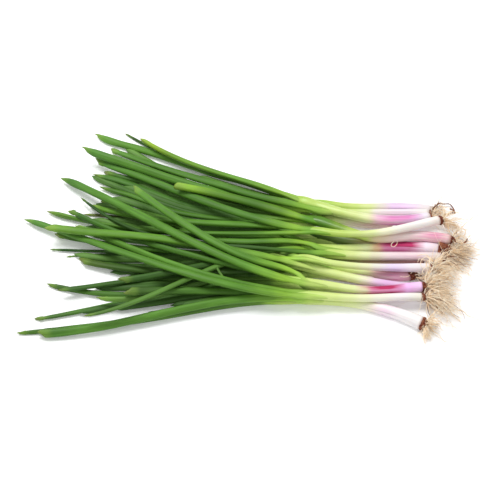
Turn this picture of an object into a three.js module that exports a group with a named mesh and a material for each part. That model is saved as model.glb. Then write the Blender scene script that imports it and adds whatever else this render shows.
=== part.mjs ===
// A bunch of thirteen spring onions, lying down as a loose fan on a level surface.
// Millimetres, +Z up. The origin is the middle of the bunch on the surface that it lies on:
// +X runs towards the roots, -X towards the leaf tips, and +Y across the fan.
//
// Each plant is a pale shank, a tuft of roots under it and two or three leaves.
// A shank, a leaf and a tuft are each one closed solid swept along its own centreline.
import * as THREE from "three";

// Driving dimensions.
const SCALE = 1; // every length below is real size at 1
const SHANK_SIDES = 12; // facets round a shank
const LEAF_SIDES = 8; // facets round a leaf
const ROOT_SIDES = 8; // facets round a tuft of roots
const SHANK_ROUGHNESS = 0.45;
const LEAF_ROUGHNESS = 0.5;
const ROOT_ROUGHNESS = 0.85;

// Centrelines. Each row is [x, y, z, radius]. Shanks run from the foot to the neck,
// root tufts from the foot outwards, and leaves from the tip to the neck, where
// they stand just clear of the shank's mouth and of one another.
const SHANKS = {
  shank_01: { colour: 0xeadcf0, line: [[165.99, 19.66, 3.68, 3.17], [154.28, 21.85, 3.8, 3.68], [142.38, 22.79, 3.98, 3.53], [130.38, 22.98, 4.13, 3.39], [118.33, 22.77, 4.28, 3.24], [106.3, 22.6, 4.38, 3.09], [94.29, 22.63, 4.71, 3.04], [82.32, 23.18, 5.35, 3.04], [70.47, 25.02, 5.88, 3.04]] },
  shank_02: { colour: 0xf3eee8, line: [[163.17, 12.66, 6.65, 3.33], [151.66, 13.56, 6, 3.87], [140.1, 14.2, 5.42, 3.82], [128.51, 14.76, 4.82, 3.78], [116.89, 15.21, 4.32, 3.74], [105.22, 15.42, 4.14, 3.69], [93.52, 15.53, 4.24, 3.67], [81.84, 15.8, 4.4, 3.67], [70.26, 17.17, 3.68, 3.68]] },
  shank_03: { colour: 0xf3b9dd, line: [[161.97, 5, 10.84, 3.86], [150.42, 2.02, 11.3, 4.46], [139.06, 0.41, 11.69, 4.36], [127.85, 0.06, 11.99, 4.27], [116.79, 0.85, 12.2, 4.18], [105.85, 2.67, 12.29, 4.1], [95, 5.42, 12.25, 4.06], [84.24, 8.93, 12.1, 4.07], [73.58, 13.29, 11.64, 4.08], [62.95, 18, 11.29, 4.09], [52.28, 21.57, 12.52, 4.1]] },
  shank_04: { colour: 0xf6f4ee, line: [[168.65, -5.32, 18.5, 3.81], [156.74, -9.31, 19.17, 4.42], [144.9, -13.37, 19.7, 4.3], [133.14, -17.16, 20.15, 4.05], [121.49, -20.07, 20.22, 3.82], [109.9, -21.94, 20.11, 3.58], [98.34, -22.64, 19.89, 3.34], [86.8, -22.21, 19.56, 3.34], [75.26, -20.69, 19.15, 3.34], [63.73, -18.14, 18.72, 3.35]] },
  shank_05: { colour: 0xe2c0b8, line: [[177.92, -19.84, 9.18, 3.8], [166.39, -18.54, 10.03, 4.42], [154.88, -17.54, 10.76, 4.42], [143.22, -17.6, 11.35, 4.33], [131.38, -19.03, 11.73, 4.18], [119.62, -20.32, 11.93, 4.04], [108.27, -19.32, 11.78, 3.9], [97.29, -15.97, 11.56, 3.79], [86.51, -11.05, 11.22, 3.81], [75.77, -5.43, 10.83, 3.82], [64.94, 0.02, 10.43, 3.84]] },
  shank_06: { colour: 0xd9569a, line: [[168.13, -27.61, 4.63, 3.98], [157.26, -25.5, 4.63, 4.63], [146.28, -24.39, 4.56, 4.56], [135.22, -24.01, 4.38, 4.38], [124.08, -24.39, 4.41, 4.2], [112.85, -25.48, 4.85, 4.02], [101.63, -26.78, 5.41, 3.83], [90.41, -28.15, 6.2, 3.78], [79.22, -29.48, 7.36, 3.77], [68.13, -29.86, 8.11, 3.77]] },
  shank_07: { colour: 0xe8dcd8, line: [[168.86, -36.59, 5.1, 3.42], [158.08, -36.38, 5.69, 3.97], [147.28, -36.49, 6.29, 3.95], [136.46, -36.81, 6.91, 3.86], [125.64, -37.23, 7.55, 3.77], [114.84, -37.64, 8.19, 3.68], [104.07, -37.9, 8.82, 3.59], [93.35, -37.89, 9.41, 3.54], [82.67, -37.44, 9.9, 3.54], [71.98, -36.94, 10.9, 3.54]] },
  shank_08: { colour: 0xf7f2f7, line: [[157.17, -52.49, 10.66, 3.72], [145.51, -53.17, 11.68, 4.28], [133.87, -53.91, 12.69, 4.04], [122.26, -54.58, 13.7, 3.81], [110.7, -55.04, 14.71, 3.57], [99.21, -55.18, 15.73, 3.34], [87.81, -54.85, 16.73, 3.28], [76.49, -53.86, 17.67, 3.28], [65.28, -52, 18.43, 3.28], [54.17, -48.97, 18.84, 3.28]] },
  shank_09: { colour: 0xe9b6c8, line: [[140.62, -55.75, 3.87, 3.32], [129.28, -56.8, 3.9, 3.77], [118.16, -56.35, 3.93, 3.68], [107.18, -54.76, 3.93, 3.6], [96.28, -52.42, 3.92, 3.52], [85.39, -49.76, 3.93, 3.53], [74.45, -47.18, 4, 3.53], [63.42, -45.13, 4.19, 3.54]] },
  shank_10: { colour: 0xf1def2, line: [[151.17, -70.06, 4.1, 3.52], [140.33, -69.74, 4.91, 4.04], [129.59, -69.04, 5.9, 3.95], [118.92, -67.98, 6.99, 3.87], [108.33, -66.6, 8.19, 3.78], [97.79, -64.91, 9.44, 3.7], [87.32, -62.93, 10.65, 3.68], [76.89, -60.59, 11.72, 3.69], [66.51, -57.85, 12.49, 3.69], [56.11, -55.32, 13.66, 3.7], [45.74, -52.22, 14.19, 3.7]] },
  shank_11: { colour: 0xd76bb5, line: [[148.61, -73.76, 12.03, 3.67], [137.91, -74.87, 12.12, 4.11], [127.19, -76.4, 12.3, 3.89], [116.52, -77.79, 12.52, 3.67], [105.88, -78.7, 13.01, 3.46], [95.33, -78.53, 13.62, 3.24], [84.83, -77.49, 14.37, 3.24], [74.35, -76.04, 15.25, 3.24], [63.87, -74.65, 16.27, 3.24], [53.37, -73.8, 17.4, 3.24]] },
  shank_12: { colour: 0xf5f5ec, line: [[147.46, -83.69, 10.4, 3.13], [136.94, -83.85, 10.89, 3.6], [126.39, -84.51, 11.37, 3.56], [115.84, -85.39, 11.82, 3.51], [105.34, -86.05, 12.06, 3.47], [94.87, -86.38, 12.28, 3.42], [84.44, -86.11, 12.43, 3.42], [74.04, -85.39, 12.57, 3.42], [63.64, -84.39, 12.73, 3.43], [53.23, -83.28, 12.93, 3.43]] },
  shank_13: { colour: 0xf8f5f6, line: [[145.64, -107.77, 5.59, 4.81], [136.37, -102.32, 5.44, 5.31], [126.76, -97.58, 5.3, 4.92], [116.87, -93.44, 5.08, 4.52], [106.73, -89.94, 4.85, 4.11], [96.37, -87.07, 4.65, 3.69], [85.83, -84.89, 4.57, 3.65], [75.16, -83.3, 4.54, 3.65], [64.4, -82.31, 4.6, 3.66], [53.6, -81.83, 4.68, 3.66]] },
};

const ROOTS = {
  roots_01: { colour: 0xd8c29a, line: [[166.43, 19.58, 3.68, 2.39], [168.15, 19.25, 3.66, 2.82], [171.78, 21.05, 3.2, 2.73], [175.27, 22.11, 2.95, 2.64], [178.85, 21.79, 2.71, 2.3], [182.43, 21.47, 2.46, 1.48]] },
  roots_02: { colour: 0xd8c29a, line: [[163.61, 12.63, 6.67, 2.21], [165.36, 12.49, 6.77, 2.6], [168.62, 11.88, 6.82, 2.5], [171.85, 10.97, 6.85, 2.41], [175.18, 8.9, 6.84, 2.08], [178.5, 6.85, 6.81, 1.33]] },
  roots_03: { colour: 0xd8c29a, line: [[162.41, 5.12, 10.83, 2.19], [164.1, 5.55, 10.76, 2.58], [166.97, 3.55, 9.81, 2.48], [169.78, 2.34, 9.25, 2.39], [173.03, -0.97, 8.68, 2.06], [176.26, -4.26, 8.11, 1.32]] },
  roots_04: { colour: 0xd8c29a, line: [[169.08, -5.17, 18.47, 2.67], [170.74, -4.62, 18.38, 3.14], [175.23, -5.47, 16.91, 2.9], [179.42, -5.99, 16.06, 2.66], [183.93, -9.57, 15.18, 2.17], [188.42, -13.13, 14.31, 1.3]] },
  roots_05: { colour: 0xd8c29a, line: [[178.36, -19.89, 9.15, 2.83], [180.1, -20.08, 9.02, 3.33], [184.18, -18.69, 7.23, 3.1], [188.08, -18.2, 6.2, 2.86], [192.02, -19.31, 5.14, 2.37], [195.96, -20.41, 4.08, 1.44]] },
  roots_06: { colour: 0xd8c29a, line: [[168.57, -27.7, 4.63, 2.99], [170.29, -28.03, 4.63, 3.51], [175.72, -28.05, 4.24, 3.23], [181.09, -28.86, 4, 2.95], [186.43, -31.74, 3.73, 2.4], [191.75, -34.61, 3.46, 1.43]] },
  roots_07: { colour: 0xd8c29a, line: [[169.31, -36.6, 5.08, 2.64], [171.06, -36.63, 4.98, 3.11], [175.56, -37.86, 3.93, 2.87], [179.98, -39.56, 3.35, 2.63], [184.31, -43.81, 2.76, 2.15], [188.62, -48.04, 2.18, 1.29]] },
  roots_08: { colour: 0xd8c29a, line: [[157.62, -52.46, 10.62, 2.77], [159.36, -52.36, 10.47, 3.25], [164.85, -52.52, 8.59, 3.03], [170.26, -52.93, 7.54, 2.8], [176.79, -56.73, 6.49, 2.31], [183.31, -60.51, 5.43, 1.4]] },
  roots_09: { colour: 0xd8c29a, line: [[141.07, -55.71, 3.86, 2.28], [142.81, -55.55, 3.86, 2.69], [146.78, -56.17, 3.41, 2.49], [150.83, -56.51, 3.15, 2.3], [155.41, -57.92, 2.88, 1.9], [159.99, -59.34, 2.6, 1.15]] },
  roots_10: { colour: 0xd8c29a, line: [[151.61, -70.07, 4.06, 2.26], [153.36, -70.12, 3.93, 2.66], [157.27, -71.31, 2.99, 2.47], [161.23, -72.26, 2.57, 2.28], [165.45, -76.78, 2.2, 1.88], [169.63, -81.31, 1.89, 1.13]] },
  roots_11: { colour: 0xd8c29a, line: [[149.06, -73.72, 12.02, 2.72], [150.8, -73.54, 12.01, 3.2], [156.71, -73.42, 11.2, 2.93], [162.69, -72.83, 10.79, 2.65], [170.13, -74.36, 10.36, 2.14], [177.56, -75.87, 9.92, 1.26]] },
  roots_12: { colour: 0xd8c29a, line: [[147.91, -83.68, 10.38, 2.71], [149.65, -83.65, 10.3, 3.19], [155.16, -85.37, 9.47, 2.97], [159.98, -88.45, 9.06, 2.74], [163.73, -93.16, 8.7, 2.52], [166.18, -99.05, 8.38, 2.29], [167.11, -105.71, 8.09, 1.86], [166.3, -112.72, 7.86, 1.11]] },
  roots_13: { colour: 0xd8c29a, line: [[146.03, -108, 5.6, 3.46], [147.54, -108.89, 5.62, 4.07], [151.13, -109.32, 4.89, 3.72], [154.67, -110.21, 4.43, 3.37], [159.58, -111.1, 3.91, 2.72], [164.5, -111.95, 3.33, 1.6]] },
};

const LEAVES = {
  leaf_01a: { colour: 0x6a9848, line: [[-142.65, 115.93, 3.17, 1.59], [-130.72, 108.53, 3.43, 3.16], [-118.44, 103.11, 3.7, 3.15], [-106.09, 98.32, 3.98, 3.14], [-93.87, 93.25, 4.28, 3.13], [-81.8, 87.87, 4.6, 3.12], [-69.87, 82.23, 4.94, 3.1], [-58.06, 76.42, 5.3, 3.09], [-46.37, 70.51, 5.68, 3.08], [-34.77, 64.59, 6.09, 3.07], [-23.23, 58.74, 6.52, 3.06], [-11.72, 53.07, 6.98, 3.05], [-0.23, 47.63, 7.46, 3.04], [11.23, 42.5, 7.88, 3.03], [22.67, 37.53, 8.4, 3.02], [34.07, 32.82, 8.92, 2.87], [45.42, 28.39, 9.4, 2.3], [56.84, 25.69, 8.28, 1.65], [68.19, 22.52, 7.91, 1.34]] },
  leaf_01b: { colour: 0x284b1e, line: [[-114.95, 119.27, 1.43, 0.71], [-103.63, 110.31, 1.5, 1.5], [-92.21, 102.08, 1.57, 1.58], [-80.71, 94.46, 1.65, 1.65], [-69.18, 87.33, 1.72, 1.72], [-57.62, 80.6, 1.78, 1.76], [-46.07, 74.11, 1.88, 1.76], [-34.55, 67.82, 2.01, 1.75], [-23.05, 61.74, 2.22, 1.74], [-11.57, 55.88, 2.51, 1.74], [-0.11, 50.25, 2.9, 1.73], [11.32, 44.88, 3.38, 1.72], [22.73, 39.85, 3.88, 1.72], [34.13, 35.12, 4.5, 1.68], [45.48, 30.35, 5.61, 1.55], [56.92, 27.38, 5.24, 1.41], [68.39, 24.95, 4.78, 1.34]] },
  leaf_02a: { colour: 0x5d8c44, line: [[-126.05, 95.4, 3.36, 1.29], [-114.1, 88.2, 4.64, 2.66], [-102.22, 81.27, 5.92, 2.75], [-90.43, 74.6, 7.19, 2.83], [-78.72, 68.19, 8.44, 2.92], [-67.08, 62.04, 9.64, 2.97], [-55.53, 56.13, 10.8, 2.95], [-44.04, 50.47, 11.9, 2.94], [-32.63, 45.05, 12.93, 2.93], [-21.29, 39.87, 13.88, 2.92], [-10.01, 34.91, 14.74, 2.91], [1.2, 30.2, 15.48, 2.9], [12.36, 25.75, 16.06, 2.89], [23.47, 21.6, 16.43, 2.88], [34.55, 17.91, 16.38, 2.73], [45.63, 15.01, 15.54, 2.19], [56.7, 12.37, 14.48, 1.6], [67.61, 8.22, 15.15, 1.32]] },
  leaf_02b: { colour: 0x5f8f45, line: [[-150.55, 85.16, 16.49, 1.5], [-139.32, 79.13, 15.91, 3.08], [-127.75, 74.2, 15.33, 3.18], [-116.07, 69.67, 14.72, 3.27], [-104.42, 64.98, 14.15, 3.36], [-92.86, 60.36, 13.38, 3.41], [-81.35, 55.7, 12.65, 3.4], [-69.87, 51.16, 11.92, 3.4], [-58.4, 46.82, 11.23, 3.39], [-46.94, 42.68, 10.61, 3.38], [-35.48, 38.72, 10.09, 3.38], [-24.02, 34.91, 9.69, 3.37], [-12.56, 31.23, 9.46, 3.36], [-1.1, 27.67, 9.42, 3.35], [10.36, 24.27, 9.53, 3.35], [21.82, 21.01, 9.82, 3.34], [33.29, 18.07, 10.1, 3.16], [44.76, 15.41, 10.41, 2.47], [56.3, 13.67, 10.06, 1.7], [67.65, 9.76, 12.5, 1.32]] },
  leaf_03a: { colour: 0x7f9f3f, line: [[-96.29, 101.39, 10.13, 2.24], [-85.1, 92, 10.55, 2.84], [-73.8, 83.7, 10.96, 2.87], [-62.4, 76.3, 11.38, 2.91], [-50.94, 69.64, 11.8, 2.95], [-39.44, 63.58, 12.21, 2.96], [-27.91, 57.98, 12.61, 2.95], [-16.4, 52.7, 12.98, 2.94], [-4.93, 47.62, 13.31, 2.93], [6.45, 42.61, 13.59, 2.92], [17.72, 37.5, 13.86, 2.79], [28.84, 32.49, 13.76, 2.24], [39.77, 27.18, 13.58, 1.63], [50.44, 21.24, 13.52, 1.33]] },
  leaf_03b: { colour: 0x5d8c44, line: [[-129.13, 66.45, 2.99, 1.49], [-117.02, 61.62, 3.03, 3.03], [-104.9, 57.7, 3.07, 3.08], [-92.79, 54.45, 3.12, 3.12], [-80.67, 51.61, 3.17, 3.16], [-68.57, 48.94, 3.21, 3.18], [-56.49, 46.22, 3.25, 3.18], [-44.45, 43.35, 3.27, 3.17], [-32.46, 40.43, 3.26, 3.17], [-20.51, 37.63, 3.22, 3.16], [-8.6, 35.03, 3.16, 3.16], [3.28, 32.69, 3.15, 3.15], [15.14, 30.92, 3.02, 3.02], [27.02, 30.08, 2.48, 2.4], [38.91, 29.79, 2.08, 1.69], [50.83, 29.84, 2.2, 1.35]] },
  leaf_04a: { colour: 0x6f9c48, line: [[-177.37, 18.77, 2.9, 1.45], [-165.7, 14.45, 3.07, 2.8], [-154.06, 10.5, 3.34, 2.7], [-142.43, 6.82, 3.79, 2.6], [-130.83, 3.4, 4.41, 2.49], [-119.24, 0.25, 5.15, 2.43], [-107.68, -2.68, 6.03, 2.42], [-96.14, -5.38, 7.04, 2.41], [-84.64, -7.87, 8.16, 2.41], [-73.17, -10.15, 9.35, 2.4], [-61.74, -12.2, 10.59, 2.4], [-50.34, -14.01, 11.81, 2.39], [-38.99, -15.58, 13, 2.39], [-27.68, -16.88, 14.11, 2.38], [-16.42, -17.64, 14.79, 2.38], [-5.17, -18.25, 15.47, 2.38], [6.05, -18.71, 16.11, 2.38], [17.25, -19.07, 16.76, 2.38], [28.42, -19.39, 17.47, 2.27], [39.56, -19.76, 18.3, 1.9], [50.65, -20.22, 19.29, 1.49], [61.68, -20.85, 20.51, 1.29]] },
  leaf_04b: { colour: 0x5d8c44, line: [[-138.01, 77.89, 7.22, 1.5], [-126.26, 71.68, 7.93, 3.04], [-114.64, 65.34, 8.62, 3.07], [-103.12, 58.8, 9.41, 3.11], [-91.74, 52.39, 10.01, 3.14], [-80.45, 45.92, 10.67, 3.16], [-69.25, 39.44, 11.4, 3.15], [-58.13, 33, 12.19, 3.13], [-47.07, 26.53, 13.15, 3.12], [-36.09, 20.08, 14.3, 3.1], [-25.16, 13.83, 15.48, 3.09], [-14.29, 7.84, 16.67, 3.08], [-3.46, 2.24, 17.77, 3.06], [7.35, -2.95, 18.8, 3.05], [18.17, -7.44, 19.47, 3.04], [29.03, -10.93, 19.48, 2.87], [39.95, -13.84, 19.35, 2.26], [50.97, -16.22, 19.17, 1.6], [62.09, -18.09, 19, 1.3]] },
  leaf_04c: { colour: 0x5d8c44, line: [[-137.8, 23.89, 3.72, 2.18], [-126.28, 18.48, 5.32, 2.95], [-114.83, 13.74, 6.85, 2.98], [-103.44, 9.61, 8.3, 3.02], [-92.11, 6.06, 9.63, 3.05], [-80.83, 3.08, 10.78, 3.08], [-69.6, 0.63, 11.73, 3.07], [-58.42, -1.35, 12.49, 3.07], [-47.31, -2.44, 12.5, 3.07], [-36.21, -3.32, 12.5, 3.06], [-25.12, -3.98, 12.4, 3.06], [-14.03, -4.53, 12.31, 3.06], [-2.95, -5.11, 12.33, 3.06], [8.11, -5.72, 12.4, 3.06], [19.14, -6.87, 12.99, 3.06], [30.1, -8.44, 13.88, 2.85], [40.98, -9.99, 14.41, 2.25], [51.75, -12.01, 14.97, 1.6], [62.39, -14.41, 15.29, 1.3]] },
  leaf_05a: { colour: 0x96b84b, line: [[-61.25, 34.21, 19.71, 3.09], [-49.68, 32.45, 18.56, 3.32], [-38.18, 30.46, 17.28, 3.39], [-26.71, 28.04, 16.12, 3.46], [-15.29, 25.27, 15.07, 3.52], [-3.93, 22.17, 14.14, 3.55], [7.37, 18.73, 13.38, 3.55], [18.6, 15.04, 12.76, 3.54], [29.77, 11.19, 12.23, 3.35], [40.85, 7.02, 12, 2.59], [51.87, 2.88, 11.74, 1.72], [62.81, -1.54, 11.84, 1.32]] },
  leaf_05b: { colour: 0x5d8c44, line: [[-139, 61.95, 4.74, 1.49], [-127.52, 58.56, 4.51, 3.02], [-116.06, 54.81, 4.31, 3.06], [-104.73, 50.29, 4.05, 3.1], [-93.55, 44.96, 3.84, 3.14], [-82.49, 39.29, 3.67, 3.16], [-71.47, 33.74, 3.55, 3.16], [-60.42, 28.74, 3.5, 3.15], [-49.3, 24.53, 3.53, 3.14], [-38.11, 21, 3.65, 3.13], [-26.85, 18.03, 3.86, 3.12], [-15.56, 15.49, 4.17, 3.12], [-4.23, 13.28, 4.57, 3.11], [7.09, 11.29, 5.06, 3.11], [18.41, 9.4, 5.64, 3.1], [29.68, 7.53, 6.27, 2.91], [40.88, 5.64, 6.87, 2.29], [51.98, 3.44, 7.66, 1.63], [62.96, 1.15, 8.24, 1.32]] },
  leaf_06a: { colour: 0x5d8c44, line: [[-129.36, 29.29, 2.58, 1.24], [-118, 24.48, 3.26, 2.51], [-106.66, 20.1, 3.93, 2.55], [-95.4, 15.77, 4.59, 2.59], [-84.27, 11.13, 5.21, 2.63], [-73.35, 5.68, 5.99, 2.65], [-62.67, 0.2, 6.19, 2.64], [-52.08, -5.7, 6.74, 2.63], [-41.53, -11.51, 7.54, 2.62], [-30.94, -16.56, 8.39, 2.61], [-20.22, -20.67, 9.71, 2.6], [-9.36, -23.37, 11.11, 2.6], [1.62, -24.96, 12.58, 2.59], [12.65, -25.5, 13.6, 2.59], [23.67, -25.66, 14.33, 2.59], [34.62, -26, 14.77, 2.44], [45.37, -27.11, 14.87, 1.99], [55.82, -29.64, 14.61, 1.51], [65.84, -34.17, 13.96, 1.29]] },
  leaf_06b: { colour: 0x5d8c44, line: [[-131.33, -110.31, 19.59, 0.57], [-121.01, -108.02, 20, 1.34], [-110.88, -104.95, 20.41, 1.54], [-100.91, -101.2, 20.8, 1.74], [-91.06, -96.83, 21.13, 1.94], [-81.29, -91.9, 21.31, 2.05], [-71.54, -86.58, 21.43, 2.06], [-61.79, -80.94, 21.42, 2.07], [-52.11, -73.89, 19.79, 2.08], [-42.29, -67.04, 18.41, 2.09], [-32.25, -61.76, 18.83, 2.1], [-22.11, -55.92, 18.22, 2.11], [-11.78, -51.52, 18.88, 2.11], [-1.29, -47.35, 19.15, 2.12], [9.37, -45.02, 20.82, 2.12], [20.24, -41.4, 19.95, 2.12], [31.39, -37.44, 17.56, 2.06], [43.02, -31.32, 11.3, 1.79], [54.96, -27.6, 6.43, 1.46], [66.81, -29.66, 6.79, 1.3]] },
  leaf_07a: { colour: 0x2f5526, line: [[-148.63, 32.07, 6.5, 0.56], [-138.36, 21.4, 7.52, 1.26], [-127.94, 11.78, 8.46, 1.39], [-117.34, 3.17, 9.46, 1.53], [-106.58, -4.39, 10.5, 1.66], [-95.69, -10.98, 11.6, 1.74], [-84.7, -16.66, 12.77, 1.74], [-73.64, -21.5, 14.01, 1.73], [-62.54, -25.57, 15.35, 1.72], [-51.42, -29.03, 16.78, 1.72], [-40.29, -31.96, 18.24, 1.71], [-29.15, -34.59, 19.81, 1.71], [-18.05, -36.96, 21.41, 1.7], [-7.01, -38.99, 22.74, 1.7], [3.97, -40.68, 23.64, 1.7], [14.86, -42.7, 24.76, 1.69], [25.72, -42.77, 23.32, 1.69], [36.61, -42.44, 21.31, 1.66], [47.54, -42, 19.26, 1.51], [58.58, -41.36, 17.23, 1.35], [69.72, -40.67, 15.58, 1.28]] },
  leaf_07b: { colour: 0x5d8c44, line: [[-132.57, 48.46, 2.96, 1.48], [-121.05, 43.5, 3, 3], [-109.27, 39.2, 3.04, 3.04], [-97.6, 34.09, 3.08, 3.08], [-86.14, 28.18, 3.12, 3.12], [-74.75, 22.4, 3.18, 3.13], [-63.29, 17.66, 3.26, 3.12], [-51.67, 14.26, 3.39, 3.12], [-39.94, 11.74, 3.58, 3.11], [-28.15, 9.63, 3.86, 3.11], [-16.37, 7.45, 4.24, 3.1], [-4.71, 4.69, 4.77, 3.1], [6.74, 0.89, 5.51, 3.09], [17.92, -4.03, 6.28, 3.08], [28.8, -10.16, 7.5, 3.06], [39.4, -17.28, 9.2, 2.91], [49.74, -25, 11.23, 2.3], [60.02, -30.71, 10.82, 1.61], [70.15, -36.71, 10.93, 1.29]] },
  leaf_07c: { colour: 0x7aa35a, line: [[-123.74, -86.79, 13.28, 0.93], [-112.71, -87.78, 12.84, 1.91], [-101.88, -87.58, 12.42, 1.96], [-91.2, -86.35, 12.04, 2], [-80.63, -84.25, 11.73, 2.05], [-70.16, -81.2, 11.18, 2.08], [-59.68, -77.81, 11, 2.09], [-49.18, -74.49, 11.53, 2.09], [-38.71, -70.35, 11.46, 2.1], [-28.31, -64.1, 8.98, 2.11], [-17.89, -54.7, 2.73, 2.13], [-7.14, -50.65, 3.13, 2.14], [3.68, -45.61, 2.15, 2.15], [14.61, -41.64, 2.15, 2.15], [25.64, -38.05, 2.16, 2.16], [36.78, -34.95, 2.13, 2.09], [48.01, -32.85, 2.56, 1.79], [59.32, -31.58, 3.09, 1.46], [70.82, -30.23, 2.44, 1.3]] },
  leaf_08a: { colour: 0x5d8c44, line: [[-166.52, -8.51, 2.2, 1.1], [-154.61, -12.26, 3.02, 2.24], [-142.75, -15.73, 3.86, 2.28], [-130.95, -18.94, 4.73, 2.33], [-119.19, -21.91, 5.62, 2.37], [-107.47, -24.69, 6.56, 2.39], [-95.8, -27.3, 7.54, 2.38], [-84.16, -29.76, 8.57, 2.38], [-72.57, -32.09, 9.66, 2.37], [-61.01, -34.31, 10.79, 2.36], [-49.5, -36.42, 11.94, 2.36], [-38.03, -38.4, 13.07, 2.35], [-26.62, -40.22, 14.1, 2.35], [-15.24, -42.16, 15.36, 2.34], [-3.91, -43.43, 15.88, 2.34], [7.39, -44.01, 15.6, 2.34], [18.66, -45.06, 15.89, 2.26], [29.87, -47.11, 17.38, 1.89], [40.84, -52.12, 22.41, 1.46], [51.84, -54.41, 24.11, 1.26]] },
  leaf_08b: { colour: 0x59603a, line: [[-144.84, 16.48, 1.41, 0.67], [-133.4, 15.51, 1.43, 1.39], [-121.98, 14.11, 1.45, 1.43], [-110.62, 12.31, 1.48, 1.48], [-99.3, 10.14, 1.52, 1.52], [-88.03, 7.66, 1.55, 1.56], [-76.83, 4.94, 1.55, 1.55], [-65.68, 1.98, 1.55, 1.55], [-54.57, -1.56, 1.99, 1.55], [-43.52, -5.35, 2.54, 1.54], [-32.54, -9.45, 3.33, 1.54], [-21.62, -13.86, 4.39, 1.53], [-10.79, -18.58, 5.77, 1.52], [-0.04, -23.52, 7.41, 1.52], [10.61, -28.87, 9.6, 1.51], [21.15, -34.43, 12.13, 1.48], [31.6, -39.6, 14.34, 1.4], [41.69, -49.05, 21.89, 1.3], [52.04, -52.1, 21.97, 1.26]] },
  leaf_08c: { colour: 0x315a28, line: [[-170.88, -24.79, 1.72, 0.44], [-159.53, -25.67, 2.15, 0.94], [-148.19, -26.54, 2.57, 1.02], [-136.86, -27.42, 2.99, 1.09], [-125.56, -28.29, 3.4, 1.17], [-114.27, -29.16, 3.8, 1.21], [-103.01, -29.99, 4.17, 1.21], [-91.76, -30.82, 4.51, 1.21], [-80.54, -31.63, 4.84, 1.21], [-69.33, -32.44, 5.15, 1.21], [-58.13, -33.28, 5.49, 1.21], [-46.96, -34.01, 5.7, 1.21], [-35.8, -34.76, 5.93, 1.21], [-24.65, -35.64, 6.32, 1.21], [-13.52, -36.71, 6.92, 1.2], [-2.41, -38.04, 7.84, 1.2], [8.67, -39.52, 8.93, 1.2], [19.69, -41.41, 10.52, 1.21], [30.67, -42.99, 11.73, 1.23], [41.32, -49.43, 18.82, 1.25], [52.18, -50.36, 19.24, 1.27]] },
  leaf_09a: { colour: 0x3d5c2a, line: [[-142.26, -38.78, 3.83, 2.24], [-130.61, -42.87, 4.94, 2.84], [-119.05, -46.44, 6.05, 2.88], [-107.56, -49.51, 7.14, 2.92], [-96.14, -52.1, 8.2, 2.96], [-84.77, -54.23, 9.2, 2.98], [-73.45, -55.99, 10.21, 2.97], [-62.19, -57.21, 10.97, 2.96], [-50.96, -57.96, 11.54, 2.96], [-39.78, -58.07, 11.64, 2.96], [-28.56, -58.77, 12.79, 2.96], [-17.37, -59.02, 13.63, 2.96], [-6.22, -57.88, 12.98, 2.96], [4.95, -56.47, 12.18, 2.96], [16.15, -54.78, 11.18, 2.97], [27.39, -53.02, 10.21, 2.84], [38.62, -51.8, 9.97, 2.26], [49.99, -48.61, 7.35, 1.6], [61.24, -47.6, 7.39, 1.28]] },
  leaf_09b: { colour: 0x5d8c44, line: [[-157.54, -75.82, 9.42, 1.15], [-146.98, -73.68, 8.65, 2.36], [-136.39, -71.44, 7.96, 2.4], [-125.82, -68.89, 7.05, 2.46], [-115.19, -66.33, 6.21, 2.51], [-104.49, -63.85, 5.48, 2.54], [-93.72, -61.56, 4.91, 2.55], [-82.86, -59.55, 4.6, 2.55], [-71.94, -57.8, 4.51, 2.55], [-60.93, -56.59, 4.97, 2.55], [-49.87, -55.77, 5.78, 2.55], [-38.8, -55.04, 6.59, 2.55], [-27.7, -55.09, 8.22, 2.55], [-16.63, -54.8, 9.3, 2.55], [-5.58, -52.99, 8.37, 2.55], [5.51, -51.64, 7.88, 2.56], [16.64, -50.17, 7.1, 2.56], [27.81, -48.81, 6.3, 2.45], [38.97, -48.45, 6.58, 2.01], [50.28, -46.34, 4.58, 1.52], [61.51, -45.79, 4.33, 1.29]] },
  leaf_09c: { colour: 0x47702f, line: [[-156.29, -32.14, 0.69, 0.35], [-144.88, -30.91, 0.81, 0.81], [-133.41, -30.14, 0.92, 0.92], [-121.92, -29.78, 1.04, 1.04], [-110.39, -29.8, 1.17, 1.16], [-98.84, -30.23, 1.4, 1.22], [-87.28, -30.99, 1.69, 1.21], [-75.71, -32.05, 2.06, 1.21], [-64.16, -33.36, 2.5, 1.21], [-52.62, -34.9, 3.05, 1.21], [-41.1, -36.73, 3.82, 1.21], [-29.62, -38.56, 4.53, 1.21], [-18.17, -40.34, 5.18, 1.2], [-6.77, -41.95, 5.64, 1.2], [4.61, -43.45, 6.07, 1.2], [15.97, -44.19, 5.7, 1.2], [27.37, -44.07, 4.49, 1.21], [38.71, -45.14, 4.97, 1.24], [50.21, -43.74, 2.73, 1.27], [61.69, -43.13, 1.8, 1.29]] },
  leaf_10a: { colour: 0x78a550, line: [[-171.3, -11.25, 16.05, 1.63], [-159.51, -13.95, 16.61, 3.3], [-147.78, -16.21, 17.16, 3.34], [-136.11, -18.15, 17.71, 3.38], [-124.47, -19.89, 18.26, 3.43], [-112.89, -21.5, 18.74, 3.45], [-101.35, -23.06, 19.14, 3.44], [-89.85, -24.83, 19.6, 3.44], [-78.39, -26.8, 20, 3.43], [-67.01, -28.89, 20.18, 3.43], [-55.65, -31.41, 20.57, 3.42], [-44.3, -34.76, 21.72, 3.41], [-33.03, -38.08, 22.68, 3.4], [-21.84, -41.3, 23.42, 3.39], [-10.69, -44.71, 24.36, 3.38], [0.39, -48.31, 25.52, 3.37], [11.39, -50.15, 24.48, 3.21], [22.35, -51.05, 22.07, 2.49], [33.17, -53.55, 21.29, 1.66], [43.9, -55.2, 19.05, 1.26]] },
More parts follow.
